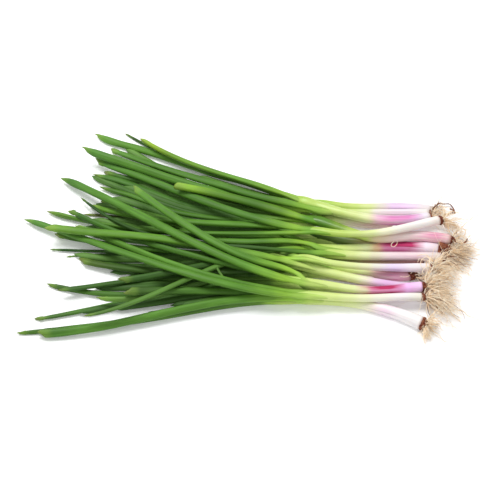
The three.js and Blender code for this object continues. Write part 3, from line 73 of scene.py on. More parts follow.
LEAVES = {
    "leaf_01a": [(-142.65, 115.93, 3.17, 1.59), (-130.72, 108.53, 3.43, 3.16), (-118.44, 103.11, 3.7, 3.15), (-106.09, 98.32, 3.98, 3.14), (-93.87, 93.25, 4.28, 3.13), (-81.8, 87.87, 4.6, 3.12), (-69.87, 82.23, 4.94, 3.1), (-58.06, 76.42, 5.3, 3.09), (-46.37, 70.51, 5.68, 3.08), (-34.77, 64.5907, 6.09, 3.06996), (-23.23, 59.3305, 6.52, 3.03113), (-11.72, 54.8353, 6.98, 2.96365), (-0.23, 50.1008, 7.46, 2.9191), (11.23, 44.5613, 7.88, 2.92913), (22.67, 38.4311, 8.4, 2.9759), (34.07, 32.8729, 8.92, 2.86753), (45.42, 28.39, 9.4, 2.3), (56.84, 25.69, 8.28, 1.65), (68.19, 22.52, 7.91, 1.34)],
    "leaf_01b": [(-114.95, 119.27, 1.43, 0.71), (-103.63, 110.31, 1.5, 1.5), (-92.21, 102.08, 1.57, 1.58), (-80.71, 94.46, 1.65, 1.65), (-69.18, 87.33, 1.72, 1.72), (-57.62, 80.6, 1.78, 1.76), (-46.07, 74.11, 1.88, 1.76), (-34.55, 67.8934, 2.01, 1.74715), (-23.05, 62.8878, 2.22, 1.69554), (-11.57, 58.6071, 2.51, 1.63397), (-0.11, 53.8093, 2.9, 1.59191), (11.32, 47.8495, 3.38, 1.60505), (22.73, 41.2706, 3.88, 1.66482), (34.13, 35.2819, 4.5, 1.67384), (45.48, 30.35, 5.61, 1.55), (56.92, 27.38, 5.24, 1.41), (68.39, 24.95, 4.78, 1.34)],
    "leaf_02a": [(-126.05, 95.4, 3.36, 1.29), (-114.1, 88.2, 4.64, 2.66), (-102.22, 81.27, 5.92, 2.75), (-90.43, 74.6, 7.19, 2.83), (-78.72, 68.19, 8.44, 2.92), (-67.08, 62.04, 9.64, 2.97), (-55.53, 56.13, 10.8, 2.95), (-44.04, 50.47, 11.9, 2.94), (-32.63, 45.05, 12.93, 2.93), (-21.29, 39.7083, 13.88, 2.87973), (-10.01, 34.1194, 14.74, 2.71306), (1.2, 28.8678, 15.48, 2.56813), (12.36, 24.4699, 16.06, 2.57123), (23.47, 20.9179, 16.43, 2.71024), (34.55, 17.8114, 16.38, 2.70669), (45.63, 15.01, 15.54, 2.19), (56.7, 12.37, 14.48, 1.6), (67.61, 8.22, 15.15, 1.32)],
    "leaf_02b": [(-150.55, 85.16, 16.49, 1.5), (-139.32, 79.13, 15.91, 3.08), (-127.75, 74.2, 15.33, 3.18), (-116.07, 69.67, 14.72, 3.27), (-104.42, 64.98, 14.15, 3.36), (-92.86, 60.36, 13.38, 3.41), (-81.35, 55.7, 12.65, 3.4), (-69.87, 51.16, 11.92, 3.4), (-58.4, 46.82, 11.23, 3.39), (-46.94, 42.68, 10.61, 3.38), (-35.48, 38.72, 10.09, 3.38), (-24.02, 34.91, 9.69, 3.37), (-12.56, 31.23, 9.46, 3.36), (-1.1, 27.67, 9.42, 3.35), (10.36, 24.27, 9.53, 3.35), (21.82, 21.01, 9.82, 3.34), (33.29, 18.07, 10.1, 3.16), (44.76, 15.41, 10.41, 2.47), (56.3, 13.67, 10.06, 1.7), (67.65, 9.76, 12.5, 1.32)],
    "leaf_03a": [(-96.29, 101.39, 10.13, 2.24), (-85.1, 92, 10.55, 2.84), (-73.8, 83.7, 10.96, 2.87), (-62.4, 76.3, 11.38, 2.91), (-50.94, 69.64, 11.8, 2.95), (-39.44, 63.58, 12.21, 2.96), (-27.91, 57.98, 12.61, 2.95), (-16.4, 52.7, 12.98, 2.94), (-4.93, 47.62, 13.31, 2.93), (6.45, 42.61, 13.59, 2.92), (17.72, 37.5, 13.86, 2.79), (28.84, 32.49, 13.76, 2.24), (39.77, 27.18, 13.58, 1.63), (50.44, 21.24, 13.52, 1.33)],
    "leaf_03b": [(-129.13, 66.45, 2.99, 1.49), (-117.02, 61.62, 3.03, 3.03), (-104.9, 57.7, 3.07, 3.08), (-92.79, 54.45, 3.12, 3.12), (-80.67, 51.61, 3.17, 3.16), (-68.57, 48.94, 3.21, 3.18), (-56.49, 46.22, 3.25, 3.18), (-44.45, 43.35, 3.27, 3.17), (-32.46, 40.43, 3.26, 3.17), (-20.51, 37.63, 3.22, 3.16), (-8.6, 35.03, 3.16, 3.16), (3.28, 32.69, 3.15, 3.15), (15.14, 30.92, 3.02, 3.02), (27.02, 30.08, 2.48, 2.4), (38.91, 29.79, 2.08, 1.69), (50.83, 29.84, 2.2, 1.35)],
    "leaf_04a": [(-177.37, 18.77, 2.9, 1.45), (-165.7, 14.45, 3.07, 2.8), (-154.06, 10.5, 3.34, 2.7), (-142.43, 6.82, 3.79, 2.6), (-130.83, 3.4, 4.41, 2.49), (-119.24, 0.25, 5.15, 2.43), (-107.68, -2.68, 6.03, 2.42), (-96.14, -5.38, 7.04, 2.41), (-84.64, -7.87, 8.16, 2.41), (-73.17, -10.15, 9.35, 2.4), (-61.74, -12.2, 10.59, 2.4), (-50.34, -14.01, 11.81, 2.39), (-38.99, -15.58, 13, 2.39), (-27.68, -16.88, 14.11, 2.38), (-16.42, -17.64, 14.79, 2.38), (-5.17, -18.25, 15.47, 2.38), (6.05, -18.71, 16.11, 2.38), (17.25, -19.07, 16.76, 2.38), (28.42, -19.39, 17.47, 2.27), (39.56, -19.76, 18.3, 1.9), (50.65, -20.22, 19.29, 1.49), (61.68, -20.85, 20.51, 1.29)],
    "leaf_04b": [(-138.01, 77.89, 7.22, 1.5), (-126.26, 71.68, 7.93, 3.04), (-114.64, 65.34, 8.62, 3.07), (-103.12, 58.8, 9.41, 3.11), (-91.74, 52.39, 10.01, 3.14), (-80.45, 45.92, 10.67, 3.16), (-69.25, 39.44, 11.4, 3.15), (-58.13, 33, 12.19, 3.13), (-47.07, 26.53, 13.15, 3.12), (-36.09, 20.08, 14.3, 3.1), (-25.16, 13.83, 15.48, 3.09), (-14.29, 7.84, 16.67, 3.08), (-3.46, 2.24, 17.77, 3.06), (7.35, -2.95, 18.8, 3.05), (18.17, -7.44, 19.47, 3.04), (29.03, -10.93, 19.48, 2.87), (39.95, -13.84, 19.35, 2.26), (50.97, -16.22, 19.17, 1.6), (62.09, -18.09, 19, 1.3)],
    "leaf_04c": [(-137.8, 23.89, 3.72, 2.18), (-126.28, 18.48, 5.32, 2.95), (-114.83, 13.74, 6.85, 2.98), (-103.44, 9.61, 8.3, 3.02), (-92.11, 6.06, 9.63, 3.05), (-80.83, 3.08, 10.78, 3.08), (-69.6, 0.63, 11.73, 3.07), (-58.42, -1.35, 12.49, 3.07), (-47.31, -2.44, 12.5, 3.07), (-36.21, -3.32, 12.5, 3.06), (-25.12, -3.98, 12.4, 3.06), (-14.03, -4.53, 12.31, 3.06), (-2.95, -5.11, 12.33, 3.06), (8.11, -5.72, 12.4, 3.06), (19.14, -6.87, 12.99, 3.06), (30.1, -8.44, 13.88, 2.85), (40.98, -9.99, 14.41, 2.25), (51.75, -12.01, 14.97, 1.6), (62.39, -14.41, 15.29, 1.3)],
    "leaf_05a": [(-61.25, 34.21, 19.71, 3.09), (-49.68, 32.45, 18.56, 3.32), (-38.18, 30.46, 17.28, 3.39), (-26.71, 28.04, 16.12, 3.46), (-15.29, 25.27, 15.07, 3.52), (-3.93, 22.17, 14.14, 3.55), (7.37, 18.73, 13.38, 3.55), (18.6, 15.04, 12.76, 3.54), (29.77, 11.19, 12.23, 3.35), (40.85, 7.02, 12, 2.59), (51.87, 2.88, 11.74, 1.72), (62.81, -1.54, 11.84, 1.32)],
    "leaf_05b": [(-139, 61.95, 4.74, 1.49), (-127.52, 58.56, 4.51, 3.02), (-116.06, 54.81, 4.31, 3.06), (-104.73, 50.29, 4.05, 3.1), (-93.55, 44.96, 3.84, 3.14), (-82.49, 39.29, 3.67, 3.16), (-71.47, 33.74, 3.55, 3.16), (-60.42, 28.74, 3.5, 3.15), (-49.3, 24.53, 3.53, 3.14), (-38.11, 21, 3.65, 3.13), (-26.85, 18.03, 3.86, 3.12), (-15.56, 15.49, 4.17, 3.12), (-4.23, 13.28, 4.57, 3.11), (7.09, 11.29, 5.06, 3.11), (18.41, 9.4, 5.64, 3.1), (29.68, 7.53, 6.27, 2.91), (40.88, 5.64, 6.87, 2.29), (51.98, 3.44, 7.66, 1.63), (62.96, 1.15, 8.24, 1.32)],
    "leaf_06a": [(-129.36, 29.29, 2.58, 1.24), (-118, 24.48, 3.26, 2.51), (-106.66, 20.1, 3.93, 2.55), (-95.4, 15.77, 4.59, 2.59), (-84.27, 11.13, 5.21, 2.63), (-73.35, 5.68, 5.99, 2.65), (-62.67, 0.2, 6.19, 2.64), (-52.08, -5.7, 6.74, 2.63), (-41.53, -11.51, 7.54, 2.62), (-30.94, -16.56, 8.39, 2.61), (-20.22, -20.67, 9.71, 2.6), (-9.36, -23.37, 11.11, 2.6), (1.62, -24.96, 12.58, 2.59), (12.65, -25.5, 13.6, 2.59), (23.67, -25.66, 14.33, 2.59), (34.62, -26, 14.77, 2.44), (45.37, -27.11, 14.87, 1.99), (55.82, -29.64, 14.61, 1.51), (65.84, -34.17, 13.96, 1.29)],
    "leaf_06b": [(-131.33, -110.31, 19.59, 0.57), (-121.01, -108.02, 20, 1.34), (-110.88, -104.95, 20.41, 1.54), (-100.91, -101.2, 20.8, 1.74), (-91.06, -96.83, 21.13, 1.94), (-81.29, -91.9, 21.31, 2.05), (-71.54, -86.58, 21.43, 2.06), (-61.79, -80.94, 21.42, 2.07), (-52.11, -73.89, 19.79, 2.08), (-42.29, -67.04, 18.41, 2.09), (-32.25, -61.76, 18.83, 2.1), (-22.11, -55.92, 18.22, 2.11), (-11.78, -51.52, 18.88, 2.11), (-1.29, -47.35, 19.15, 2.12), (9.37, -45.02, 20.82, 2.12), (20.24, -41.4, 19.95, 2.12), (31.39, -37.44, 17.56, 2.06), (43.02, -31.32, 11.3, 1.79), (54.96, -27.6, 6.43, 1.46), (66.81, -29.66, 6.79, 1.3)],
    "leaf_07a": [(-148.63, 32.07, 6.5, 0.56), (-138.36, 21.4, 7.52, 1.26), (-127.94, 11.78, 8.46, 1.39), (-117.34, 3.17, 9.46, 1.53), (-106.58, -4.39, 10.5, 1.66), (-95.69, -10.98, 11.6, 1.74), (-84.7, -16.66, 12.77, 1.74), (-73.64, -21.5, 14.01, 1.73), (-62.54, -25.57, 15.35, 1.72), (-51.42, -29.03, 16.78, 1.72), (-40.29, -31.96, 18.24, 1.71), (-29.15, -34.59, 19.81, 1.71), (-18.05, -36.96, 21.41, 1.7), (-7.01, -38.99, 22.74, 1.7), (3.97, -40.68, 23.64, 1.7), (14.86, -42.7, 24.76, 1.69), (25.72, -42.77, 23.32, 1.69), (36.61, -42.44, 21.31, 1.66), (47.54, -42, 19.26, 1.51), (58.58, -41.36, 17.23, 1.35), (69.72, -40.67, 15.58, 1.28)],
    "leaf_07b": [(-132.57, 48.46, 2.96, 1.48), (-121.05, 43.5, 3, 3), (-109.27, 39.2, 3.04, 3.04), (-97.6, 34.09, 3.08, 3.08), (-86.14, 28.18, 3.12, 3.12), (-74.75, 22.4, 3.18, 3.13), (-63.29, 17.66, 3.26, 3.12), (-51.67, 14.26, 3.39, 3.12), (-39.94, 11.74, 3.58, 3.11), (-28.15, 9.63, 3.86, 3.11), (-16.37, 7.45, 4.24, 3.1), (-4.71, 4.69, 4.77, 3.1), (6.74, 0.89, 5.51, 3.09), (17.92, -4.03, 6.28, 3.08), (28.8, -10.16, 7.5, 3.06), (39.4, -17.28, 9.2, 2.91), (49.74, -25, 11.23, 2.3), (60.02, -30.71, 10.82, 1.61), (70.15, -36.71, 10.93, 1.29)],
    "leaf_07c": [(-123.74, -86.79, 13.28, 0.93), (-112.71, -87.78, 12.84, 1.91), (-101.88, -87.58, 12.42, 1.96), (-91.2, -86.35, 12.04, 2), (-80.63, -84.25, 11.73, 2.05), (-70.16, -81.2, 11.18, 2.08), (-59.68, -77.81, 11, 2.09), (-49.18, -74.49, 11.53, 2.09), (-38.71, -70.35, 11.46, 2.1), (-28.31, -64.1, 8.98, 2.11), (-17.89, -54.7, 2.73, 2.13), (-7.14, -50.65, 3.13, 2.14), (3.68, -45.61, 2.15, 2.15), (14.61, -41.64, 2.15, 2.15), (25.64, -38.05, 2.16, 2.16), (36.78, -34.95, 2.13, 2.09), (48.01, -32.85, 2.56, 1.79), (59.32, -31.58, 3.09, 1.46), (70.82, -30.23, 2.44, 1.3)],
    "leaf_08a": [(-166.52, -8.51, 2.2, 1.1), (-154.61, -12.26, 3.02, 2.24), (-142.75, -15.73, 3.86, 2.28), (-130.95, -18.94, 4.73, 2.33), (-119.19, -21.91, 5.62, 2.37), (-107.47, -24.69, 6.56, 2.39), (-95.8, -27.3, 7.54, 2.38), (-84.16, -29.76, 8.57, 2.38), (-72.57, -32.09, 9.66, 2.37), (-61.01, -34.31, 10.79, 2.36), (-49.5, -36.42, 11.94, 2.36), (-38.03, -38.4, 13.07, 2.35), (-26.62, -40.22, 14.1, 2.35), (-15.24, -42.16, 15.36, 2.34), (-3.91, -43.43, 15.88, 2.34), (7.39, -44.01, 15.6, 2.34), (18.66, -45.06, 15.89, 2.26), (29.87, -47.11, 17.38, 1.89), (40.84, -52.12, 22.41, 1.46), (51.84, -54.41, 24.11, 1.26)],
    "leaf_08b": [(-144.84, 16.48, 1.41, 0.67), (-133.4, 15.51, 1.43, 1.39), (-121.98, 14.11, 1.45, 1.43), (-110.62, 12.31, 1.48, 1.48), (-99.3, 10.14, 1.52, 1.52), (-88.03, 7.66, 1.55, 1.56), (-76.83, 4.94, 1.55, 1.55), (-65.68, 1.98, 1.55, 1.55), (-54.57, -1.56, 1.99, 1.55), (-43.52, -5.35, 2.54, 1.54), (-32.54, -9.45, 3.33, 1.54), (-21.62, -13.86, 4.39, 1.53), (-10.79, -18.58, 5.77, 1.52), (-0.04, -23.52, 7.41, 1.52), (10.61, -28.87, 9.6, 1.51), (21.15, -34.43, 12.13, 1.48), (31.6, -39.6, 14.34, 1.4), (41.69, -49.05, 21.89, 1.3), (52.04, -52.1, 21.97, 1.26)],
    "leaf_08c": [(-170.88, -24.79, 1.72, 0.44), (-159.53, -25.67, 2.15, 0.94), (-148.19, -26.54, 2.57, 1.02), (-136.86, -27.42, 2.99, 1.09), (-125.56, -28.29, 3.4, 1.17), (-114.27, -29.16, 3.8, 1.21), (-103.01, -29.99, 4.17, 1.21), (-91.76, -30.82, 4.51, 1.21), (-80.54, -31.63, 4.84, 1.21), (-69.33, -32.44, 5.15, 1.21), (-58.13, -33.28, 5.49, 1.21), (-46.96, -34.01, 5.7, 1.21), (-35.8, -34.76, 5.93, 1.21), (-24.65, -35.64, 6.32, 1.21), (-13.52, -36.71, 6.92, 1.2), (-2.41, -38.04, 7.84, 1.2), (8.67, -39.52, 8.93, 1.2), (19.69, -41.41, 10.52, 1.21), (30.67, -42.99, 11.73, 1.23), (41.32, -49.43, 18.82, 1.25), (52.18, -50.36, 19.24, 1.27)],
    "leaf_09a": [(-142.26, -38.78, 3.83, 2.24), (-130.61, -42.87, 4.94, 2.84), (-119.05, -46.44, 6.05, 2.88), (-107.56, -49.51, 7.14, 2.92), (-96.14, -52.1, 8.2, 2.96), (-84.77, -54.23, 9.2, 2.98), (-73.45, -55.99, 10.21, 2.97), (-62.19, -57.21, 10.97, 2.96), (-50.96, -57.96, 11.54, 2.96), (-39.78, -58.07, 11.64, 2.96), (-28.56, -58.77, 12.79, 2.96), (-17.37, -59.02, 13.63, 2.96), (-6.22, -57.88, 12.98, 2.96), (4.95, -56.47, 12.18, 2.96), (16.15, -54.78, 11.18, 2.97), (27.39, -53.02, 10.21, 2.84), (38.62, -51.8, 9.97, 2.26), (49.99, -48.61, 7.35, 1.6), (61.24, -47.6, 7.39, 1.28)],
    "leaf_09b": [(-157.54, -75.82, 9.42, 1.15), (-146.98, -73.68, 8.65, 2.36), (-136.39, -71.44, 7.96, 2.4), (-125.82, -68.89, 7.05, 2.46), (-115.19, -66.33, 6.21, 2.51), (-104.49, -63.85, 5.48, 2.54), (-93.72, -61.56, 4.91, 2.55), (-82.86, -59.55, 4.6, 2.55), (-71.94, -57.8, 4.51, 2.55), (-60.93, -56.59, 4.97, 2.55), (-49.87, -55.77, 5.78, 2.55), (-38.8, -55.04, 6.59, 2.55), (-27.7, -55.09, 8.22, 2.55), (-16.63, -54.8, 9.3, 2.55), (-5.58, -52.99, 8.37, 2.55), (5.51, -51.64, 7.88, 2.56), (16.64, -50.17, 7.1, 2.56), (27.81, -48.81, 6.3, 2.45), (38.97, -48.45, 6.58, 2.01), (50.28, -46.34, 4.58, 1.52), (61.51, -45.79, 4.33, 1.29)],
    "leaf_09c": [(-156.29, -32.14, 0.69, 0.35), (-144.88, -30.91, 0.81, 0.81), (-133.41, -30.14, 0.92, 0.92), (-121.92, -29.78, 1.04, 1.04), (-110.39, -29.8, 1.17, 1.16), (-98.84, -30.23, 1.4, 1.22), (-87.28, -30.99, 1.69, 1.21), (-75.71, -32.05, 2.06, 1.21), (-64.16, -33.36, 2.5, 1.21), (-52.62, -34.9, 3.05, 1.21), (-41.1, -36.73, 3.82, 1.21), (-29.62, -38.56, 4.53, 1.21), (-18.17, -40.34, 5.18, 1.2), (-6.77, -41.95, 5.64, 1.2), (4.61, -43.45, 6.07, 1.2), (15.97, -44.19, 5.7, 1.2), (27.37, -44.07, 4.49, 1.21), (38.71, -45.14, 4.97, 1.24), (50.21, -43.74, 2.73, 1.27), (61.69, -43.13, 1.8, 1.29)],
    "leaf_10a": [(-171.3, -11.25, 16.05, 1.63), (-159.51, -13.95, 16.61, 3.3), (-147.78, -16.21, 17.16, 3.34), (-136.11, -18.15, 17.71, 3.38), (-124.47, -19.89, 18.26, 3.43), (-112.89, -21.5, 18.74, 3.45), (-101.35, -23.06, 19.14, 3.44), (-89.85, -24.83, 19.6, 3.44), (-78.39, -26.8, 20, 3.43), (-67.01, -28.89, 20.18, 3.43), (-55.65, -31.41, 20.57, 3.42), (-44.3, -34.76, 21.72, 3.41), (-33.03, -38.08, 22.68, 3.4), (-21.84, -41.3, 23.42, 3.39), (-10.69, -44.71, 24.36, 3.38), (0.39, -48.31, 25.52, 3.37), (11.39, -50.15, 24.48, 3.21), (22.35, -51.05, 22.07, 2.49), (33.17, -53.55, 21.29, 1.66), (43.9, -55.2, 19.05, 1.26)],
    "leaf_10b": [(-104.5, -71.73, 17.65, 1.15), (-94.12, -70.12, 17.66, 2.34), (-83.75, -68, 17.69, 2.39), (-73.37, -65.49, 17.68, 2.44), (-62.98, -62.65, 17.55, 2.49), (-52.54, -59.74, 17.42, 2.52), (-42, -57.42, 17.92, 2.53), (-31.5, -53.83, 16.58, 2.54), (-20.95, -49.34, 13.7, 2.55), (-10.25, -45.53, 11.02, 2.56), (0.58, -43.93, 10.25, 2.56), (11.46, -43.92, 10.42, 2.43), (22.34, -45.55, 11.43, 1.98), (33.13, -49.52, 13.97, 1.5), (43.97, -52.59, 13.95, 1.27)],
    "leaf_10c": [(-169.14, -63.42, 1.91, 0.96), (-158.16, -66.89, 2.29, 1.95), (-147.17, -69.94, 2.76, 1.99), (-136.23, -72.48, 3.21, 2.03), (-125.27, -74.71, 3.97, 2.07), (-114.38, -76.41, 4.75, 2.1), (-103.55, -77.5, 5.5, 2.1), (-92.81, -77.92, 6.18, 2.1), (-82.15, -77.65, 6.72, 2.1), (-71.55, -76.68, 7.01, 2.1), (-61, -75.12, 7.06, 2.1), (-50.48, -72.95, 6.77, 2.1), (-39.91, -70.87, 6.88, 2.11), (-29.41, -67.2, 5.21, 2.11), (-18.84, -63.74, 4, 2.12), (-8.22, -60.39, 3.04, 2.13), (2.43, -57.04, 2.24, 2.13), (13.08, -53.99, 2.05, 2.05), (23.7, -50.61, 1.75, 1.75), (34.27, -46.87, 1.44, 1.44), (44.78, -42.85, 1.29, 1.29)],
    "leaf_11a": [(-168.27, 58.17, 4.56, 1.49), (-156.5, 49.28, 7.13, 3.05), (-144.93, 40.28, 9.7, 3.12), (-133.55, 31.23, 12.26, 3.19), (-122.36, 22.15, 14.79, 3.26), (-111.36, 13.12, 17.27, 3.3), (-100.53, 4.18, 19.66, 3.28), (-89.89, -4.59, 21.92, 3.26), (-79.42, -13.1, 23.97, 3.24), (-69.1, -21.25, 25.72, 3.21), (-58.93, -29.16, 27.33, 3.19), (-48.92, -36.1, 27.96, 3.18), (-39, -42.57, 28.25, 3.16), (-29.14, -48.58, 28.23, 3.15), (-19.31, -54.08, 27.91, 3.14), (-9.47, -59.18, 27.49, 3.13), (0.4, -63.49, 26.51, 3.13), (10.33, -67.19, 25.28, 3.12), (20.36, -70.43, 24, 2.92), (30.5, -73.25, 22.8, 2.27), (40.77, -75.69, 21.79, 1.57), (51.19, -77.78, 21.07, 1.24)],
    "leaf_11b": [(-99.11, 26.73, 24.32, 2.44), (-89, 16.49, 25.31, 2.95), (-78.95, 6.39, 26.29, 3.03), (-68.95, -3.48, 27.26, 3.1), (-58.98, -13.01, 28.17, 3.18), (-49.04, -22.1, 28.98, 3.2), (-39.11, -30.61, 29.59, 3.19), (-29.15, -38.54, 30.1, 3.17), (-19.17, -45.29, 29.86, 3.16), (-9.06, -50.96, 29.12, 3.14), (1.26, -55.51, 27.99, 3.14), (11.88, -58.62, 26.22, 3.14), (22.76, -60.93, 24.44, 3), (33.45, -63.43, 22.59, 2.35), (43.35, -67.47, 20.76, 1.61), (51.84, -74.35, 19.05, 1.25)],
    "leaf_11c": [(-156.55, 15.24, 7.82, 1), (-145.36, 7.35, 8.67, 2.04), (-134.19, 0.09, 9.44, 2.08), (-123.01, -6.73, 10.31, 2.11), (-111.84, -13.15, 11.26, 2.15), (-100.67, -19.25, 12.33, 2.17), (-89.51, -25.03, 13.47, 2.16), (-78.34, -30.73, 14.93, 2.15), (-67.19, -36.39, 16.69, 2.14), (-56.1, -41.74, 18.4, 2.13), (-45.07, -46.77, 20, 2.12), (-34.12, -51.37, 21.29, 2.11), (-23.23, -56.09, 22.91, 2.1), (-12.46, -58.62, 21.99, 2.1), (-1.71, -61.23, 21.23, 2.1), (9, -63.88, 20.55, 2.09), (19.68, -66.36, 19.64, 2.02), (30.3, -68.75, 18.56, 1.73), (40.88, -71.09, 17.31, 1.41), (51.39, -73.33, 15.79, 1.25)],
    "leaf_12a": [(-195.81, 9.18, 2.98, 1.44), (-184.1, 2.99, 4.75, 2.92), (-172.52, -3.25, 6.51, 2.95), (-161.06, -9.54, 8.29, 2.98), (-149.71, -15.86, 10.08, 3.01), (-138.48, -22.18, 11.9, 3.03), (-127.36, -28.49, 13.73, 3.01), (-116.34, -34.76, 15.57, 3), (-105.44, -40.95, 17.4, 2.98), (-94.64, -47.01, 19.19, 2.97), (-83.94, -52.87, 20.88, 2.95), (-73.34, -58.48, 22.41, 2.94), (-62.84, -63.7, 23.65, 2.92), (-52.44, -68.25, 24.28, 2.91), (-42.1, -72.39, 24.64, 2.9), (-31.83, -75.54, 24.02, 2.9), (-21.57, -78.31, 23.22, 2.9), (-11.29, -80.62, 22.17, 2.9), (-0.99, -82.54, 20.98, 2.89), (9.35, -84.11, 19.75, 2.89), (19.73, -85.32, 18.54, 2.72), (30.17, -86.24, 17.48, 2.15), (40.66, -86.92, 16.7, 1.53), (51.19, -87.4, 16.33, 1.24)],
    "leaf_12b": [(-149.67, -1.67, 7.09, 1.1), (-138.43, -9.1, 9.08, 2.23), (-127.31, -16.48, 11.06, 2.27), (-116.31, -23.77, 13.04, 2.3), (-105.41, -31.03, 15.11, 2.33), (-94.62, -38.06, 17.1, 2.35), (-83.95, -44.81, 18.98, 2.33), (-73.38, -51.17, 20.64, 2.32), (-62.9, -57.14, 22.13, 2.31), (-52.53, -62.24, 22.88, 2.3), (-42.21, -66.66, 23.17, 2.29), (-31.95, -69.96, 22.45, 2.29), (-21.67, -72.81, 21.54, 2.29), (-11.35, -75.2, 20.43, 2.29), (-0.99, -77.17, 19.2, 2.28), (9.43, -78.79, 17.92, 2.28), (19.9, -80.14, 16.73, 2.18), (30.44, -81.22, 15.6, 1.82), (41.04, -82.05, 14.59, 1.43), (51.71, -82.66, 13.75, 1.25)],
    "leaf_12c": [(-98.59, -84.39, 19.12, 2.61), (-88.02, -83.42, 18.19, 2.9), (-77.41, -82.51, 17.26, 2.9), (-66.77, -81.7, 16.36, 2.91), (-56.12, -80.76, 15.18, 2.91), (-45.45, -79.76, 13.82, 2.92), (-34.73, -78.95, 12.59, 2.92), (-23.97, -78.31, 11.45, 2.92), (-13.19, -77.9, 10.47, 2.93), (-2.38, -77.75, 9.7, 2.93), (8.44, -77.92, 9.19, 2.93), (19.26, -78.27, 8.79, 2.77), (30.06, -79.16, 8.93, 2.19), (40.83, -80.36, 9.34, 1.55), (51.57, -81.57, 9.6, 1.25)],
    "leaf_13a": [(-168.39, -117.22, 4.46, 2.61), (-157.83, -116.76, 4.79, 3.03), (-147.38, -115.81, 5.14, 2.98), (-137, -114.43, 5.5, 2.94), (-126.68, -112.68, 5.87, 2.9), (-116.4, -110.62, 6.26, 2.87), (-106.14, -108.33, 6.66, 2.88), (-95.89, -105.85, 7.07, 2.88), (-85.63, -103.26, 7.49, 2.88), (-75.35, -100.61, 7.92, 2.89), (-65.04, -97.97, 8.35, 2.89), (-54.7, -95.4, 8.77, 2.9), (-44.31, -92.96, 9.18, 2.9), (-33.88, -90.71, 9.55, 2.9), (-23.39, -88.7, 9.88, 2.91), (-12.85, -86.98, 10.13, 2.91), (-2.25, -85.58, 10.27, 2.91), (8.41, -84.56, 10.25, 2.92), (19.13, -84.07, 10.21, 2.75), (29.92, -83.87, 9.73, 2.18), (40.78, -84.11, 8.94, 1.55), (51.68, -85.34, 8.43, 1.25)],
    "leaf_13b": [(-173.86, -100.33, 1.92, 0.87), (-163.45, -98.25, 1.95, 1.82), (-153.05, -95.89, 1.99, 1.89), (-142.64, -93.34, 2.03, 1.97), (-132.21, -90.65, 2.06, 2.04), (-121.73, -87.9, 2.09, 2.09), (-111.21, -85.15, 2.1, 2.09), (-100.63, -82.48, 2.11, 2.1), (-89.98, -79.96, 2.1, 2.1), (-79.26, -77.67, 2.1, 2.1), (-68.47, -75.66, 2.11, 2.11), (-57.62, -73.94, 2.11, 2.11), (-46.72, -72.57, 2.11, 2.11), (-35.77, -71.57, 2.11, 2.11), (-24.79, -70.98, 2.11, 2.11), (-13.77, -71.3, 2.72, 2.11), (-2.76, -72.04, 3.26, 2.11), (8.23, -73.33, 3.85, 2.11), (19.19, -75.12, 4.4, 2.03), (30.1, -77.45, 4.92, 1.74), (40.97, -80.15, 5.16, 1.41), (51.79, -83.12, 4.93, 1.25)],
    "leaf_13c": [(-188.23, -114.62, 1.58, 0.66), (-177.86, -113.71, 1.73, 1.52), (-167.5, -112.7, 1.87, 1.72), (-157.14, -111.6, 2.01, 1.92), (-146.8, -110.38, 2.14, 2.12), (-136.47, -109.06, 2.27, 2.27), (-126.15, -107.57, 2.31, 2.27), (-115.84, -105.97, 2.34, 2.27), (-105.53, -104.25, 2.36, 2.28), (-95.22, -102.39, 2.36, 2.28), (-84.9, -100.42, 2.35, 2.28), (-74.58, -98.31, 2.34, 2.28), (-64.24, -96.09, 2.33, 2.29), (-53.9, -93.75, 2.33, 2.29), (-43.53, -91.37, 2.33, 2.29), (-33.12, -89.03, 2.33, 2.3), (-22.66, -86.84, 2.33, 2.3), (-12.15, -84.89, 2.33, 2.3), (-1.58, -83.26, 2.31, 2.31), (9.05, -82.04, 2.31, 2.31), (19.74, -81.14, 2.2, 2.2), (30.47, -80.46, 1.83, 1.84), (41.23, -80.36, 1.7, 1.44), (52.01, -80.71, 1.62, 1.26)],
}
# leaves given darker greens and a darker neck as painted shade: they lie low in the heap or under other leaves
PAINTED_SHADE_LEAVES = {"leaf_07a", "leaf_08b", "leaf_12c", "leaf_08c", "leaf_09c", "leaf_09a", "leaf_09b", "leaf_10b"}
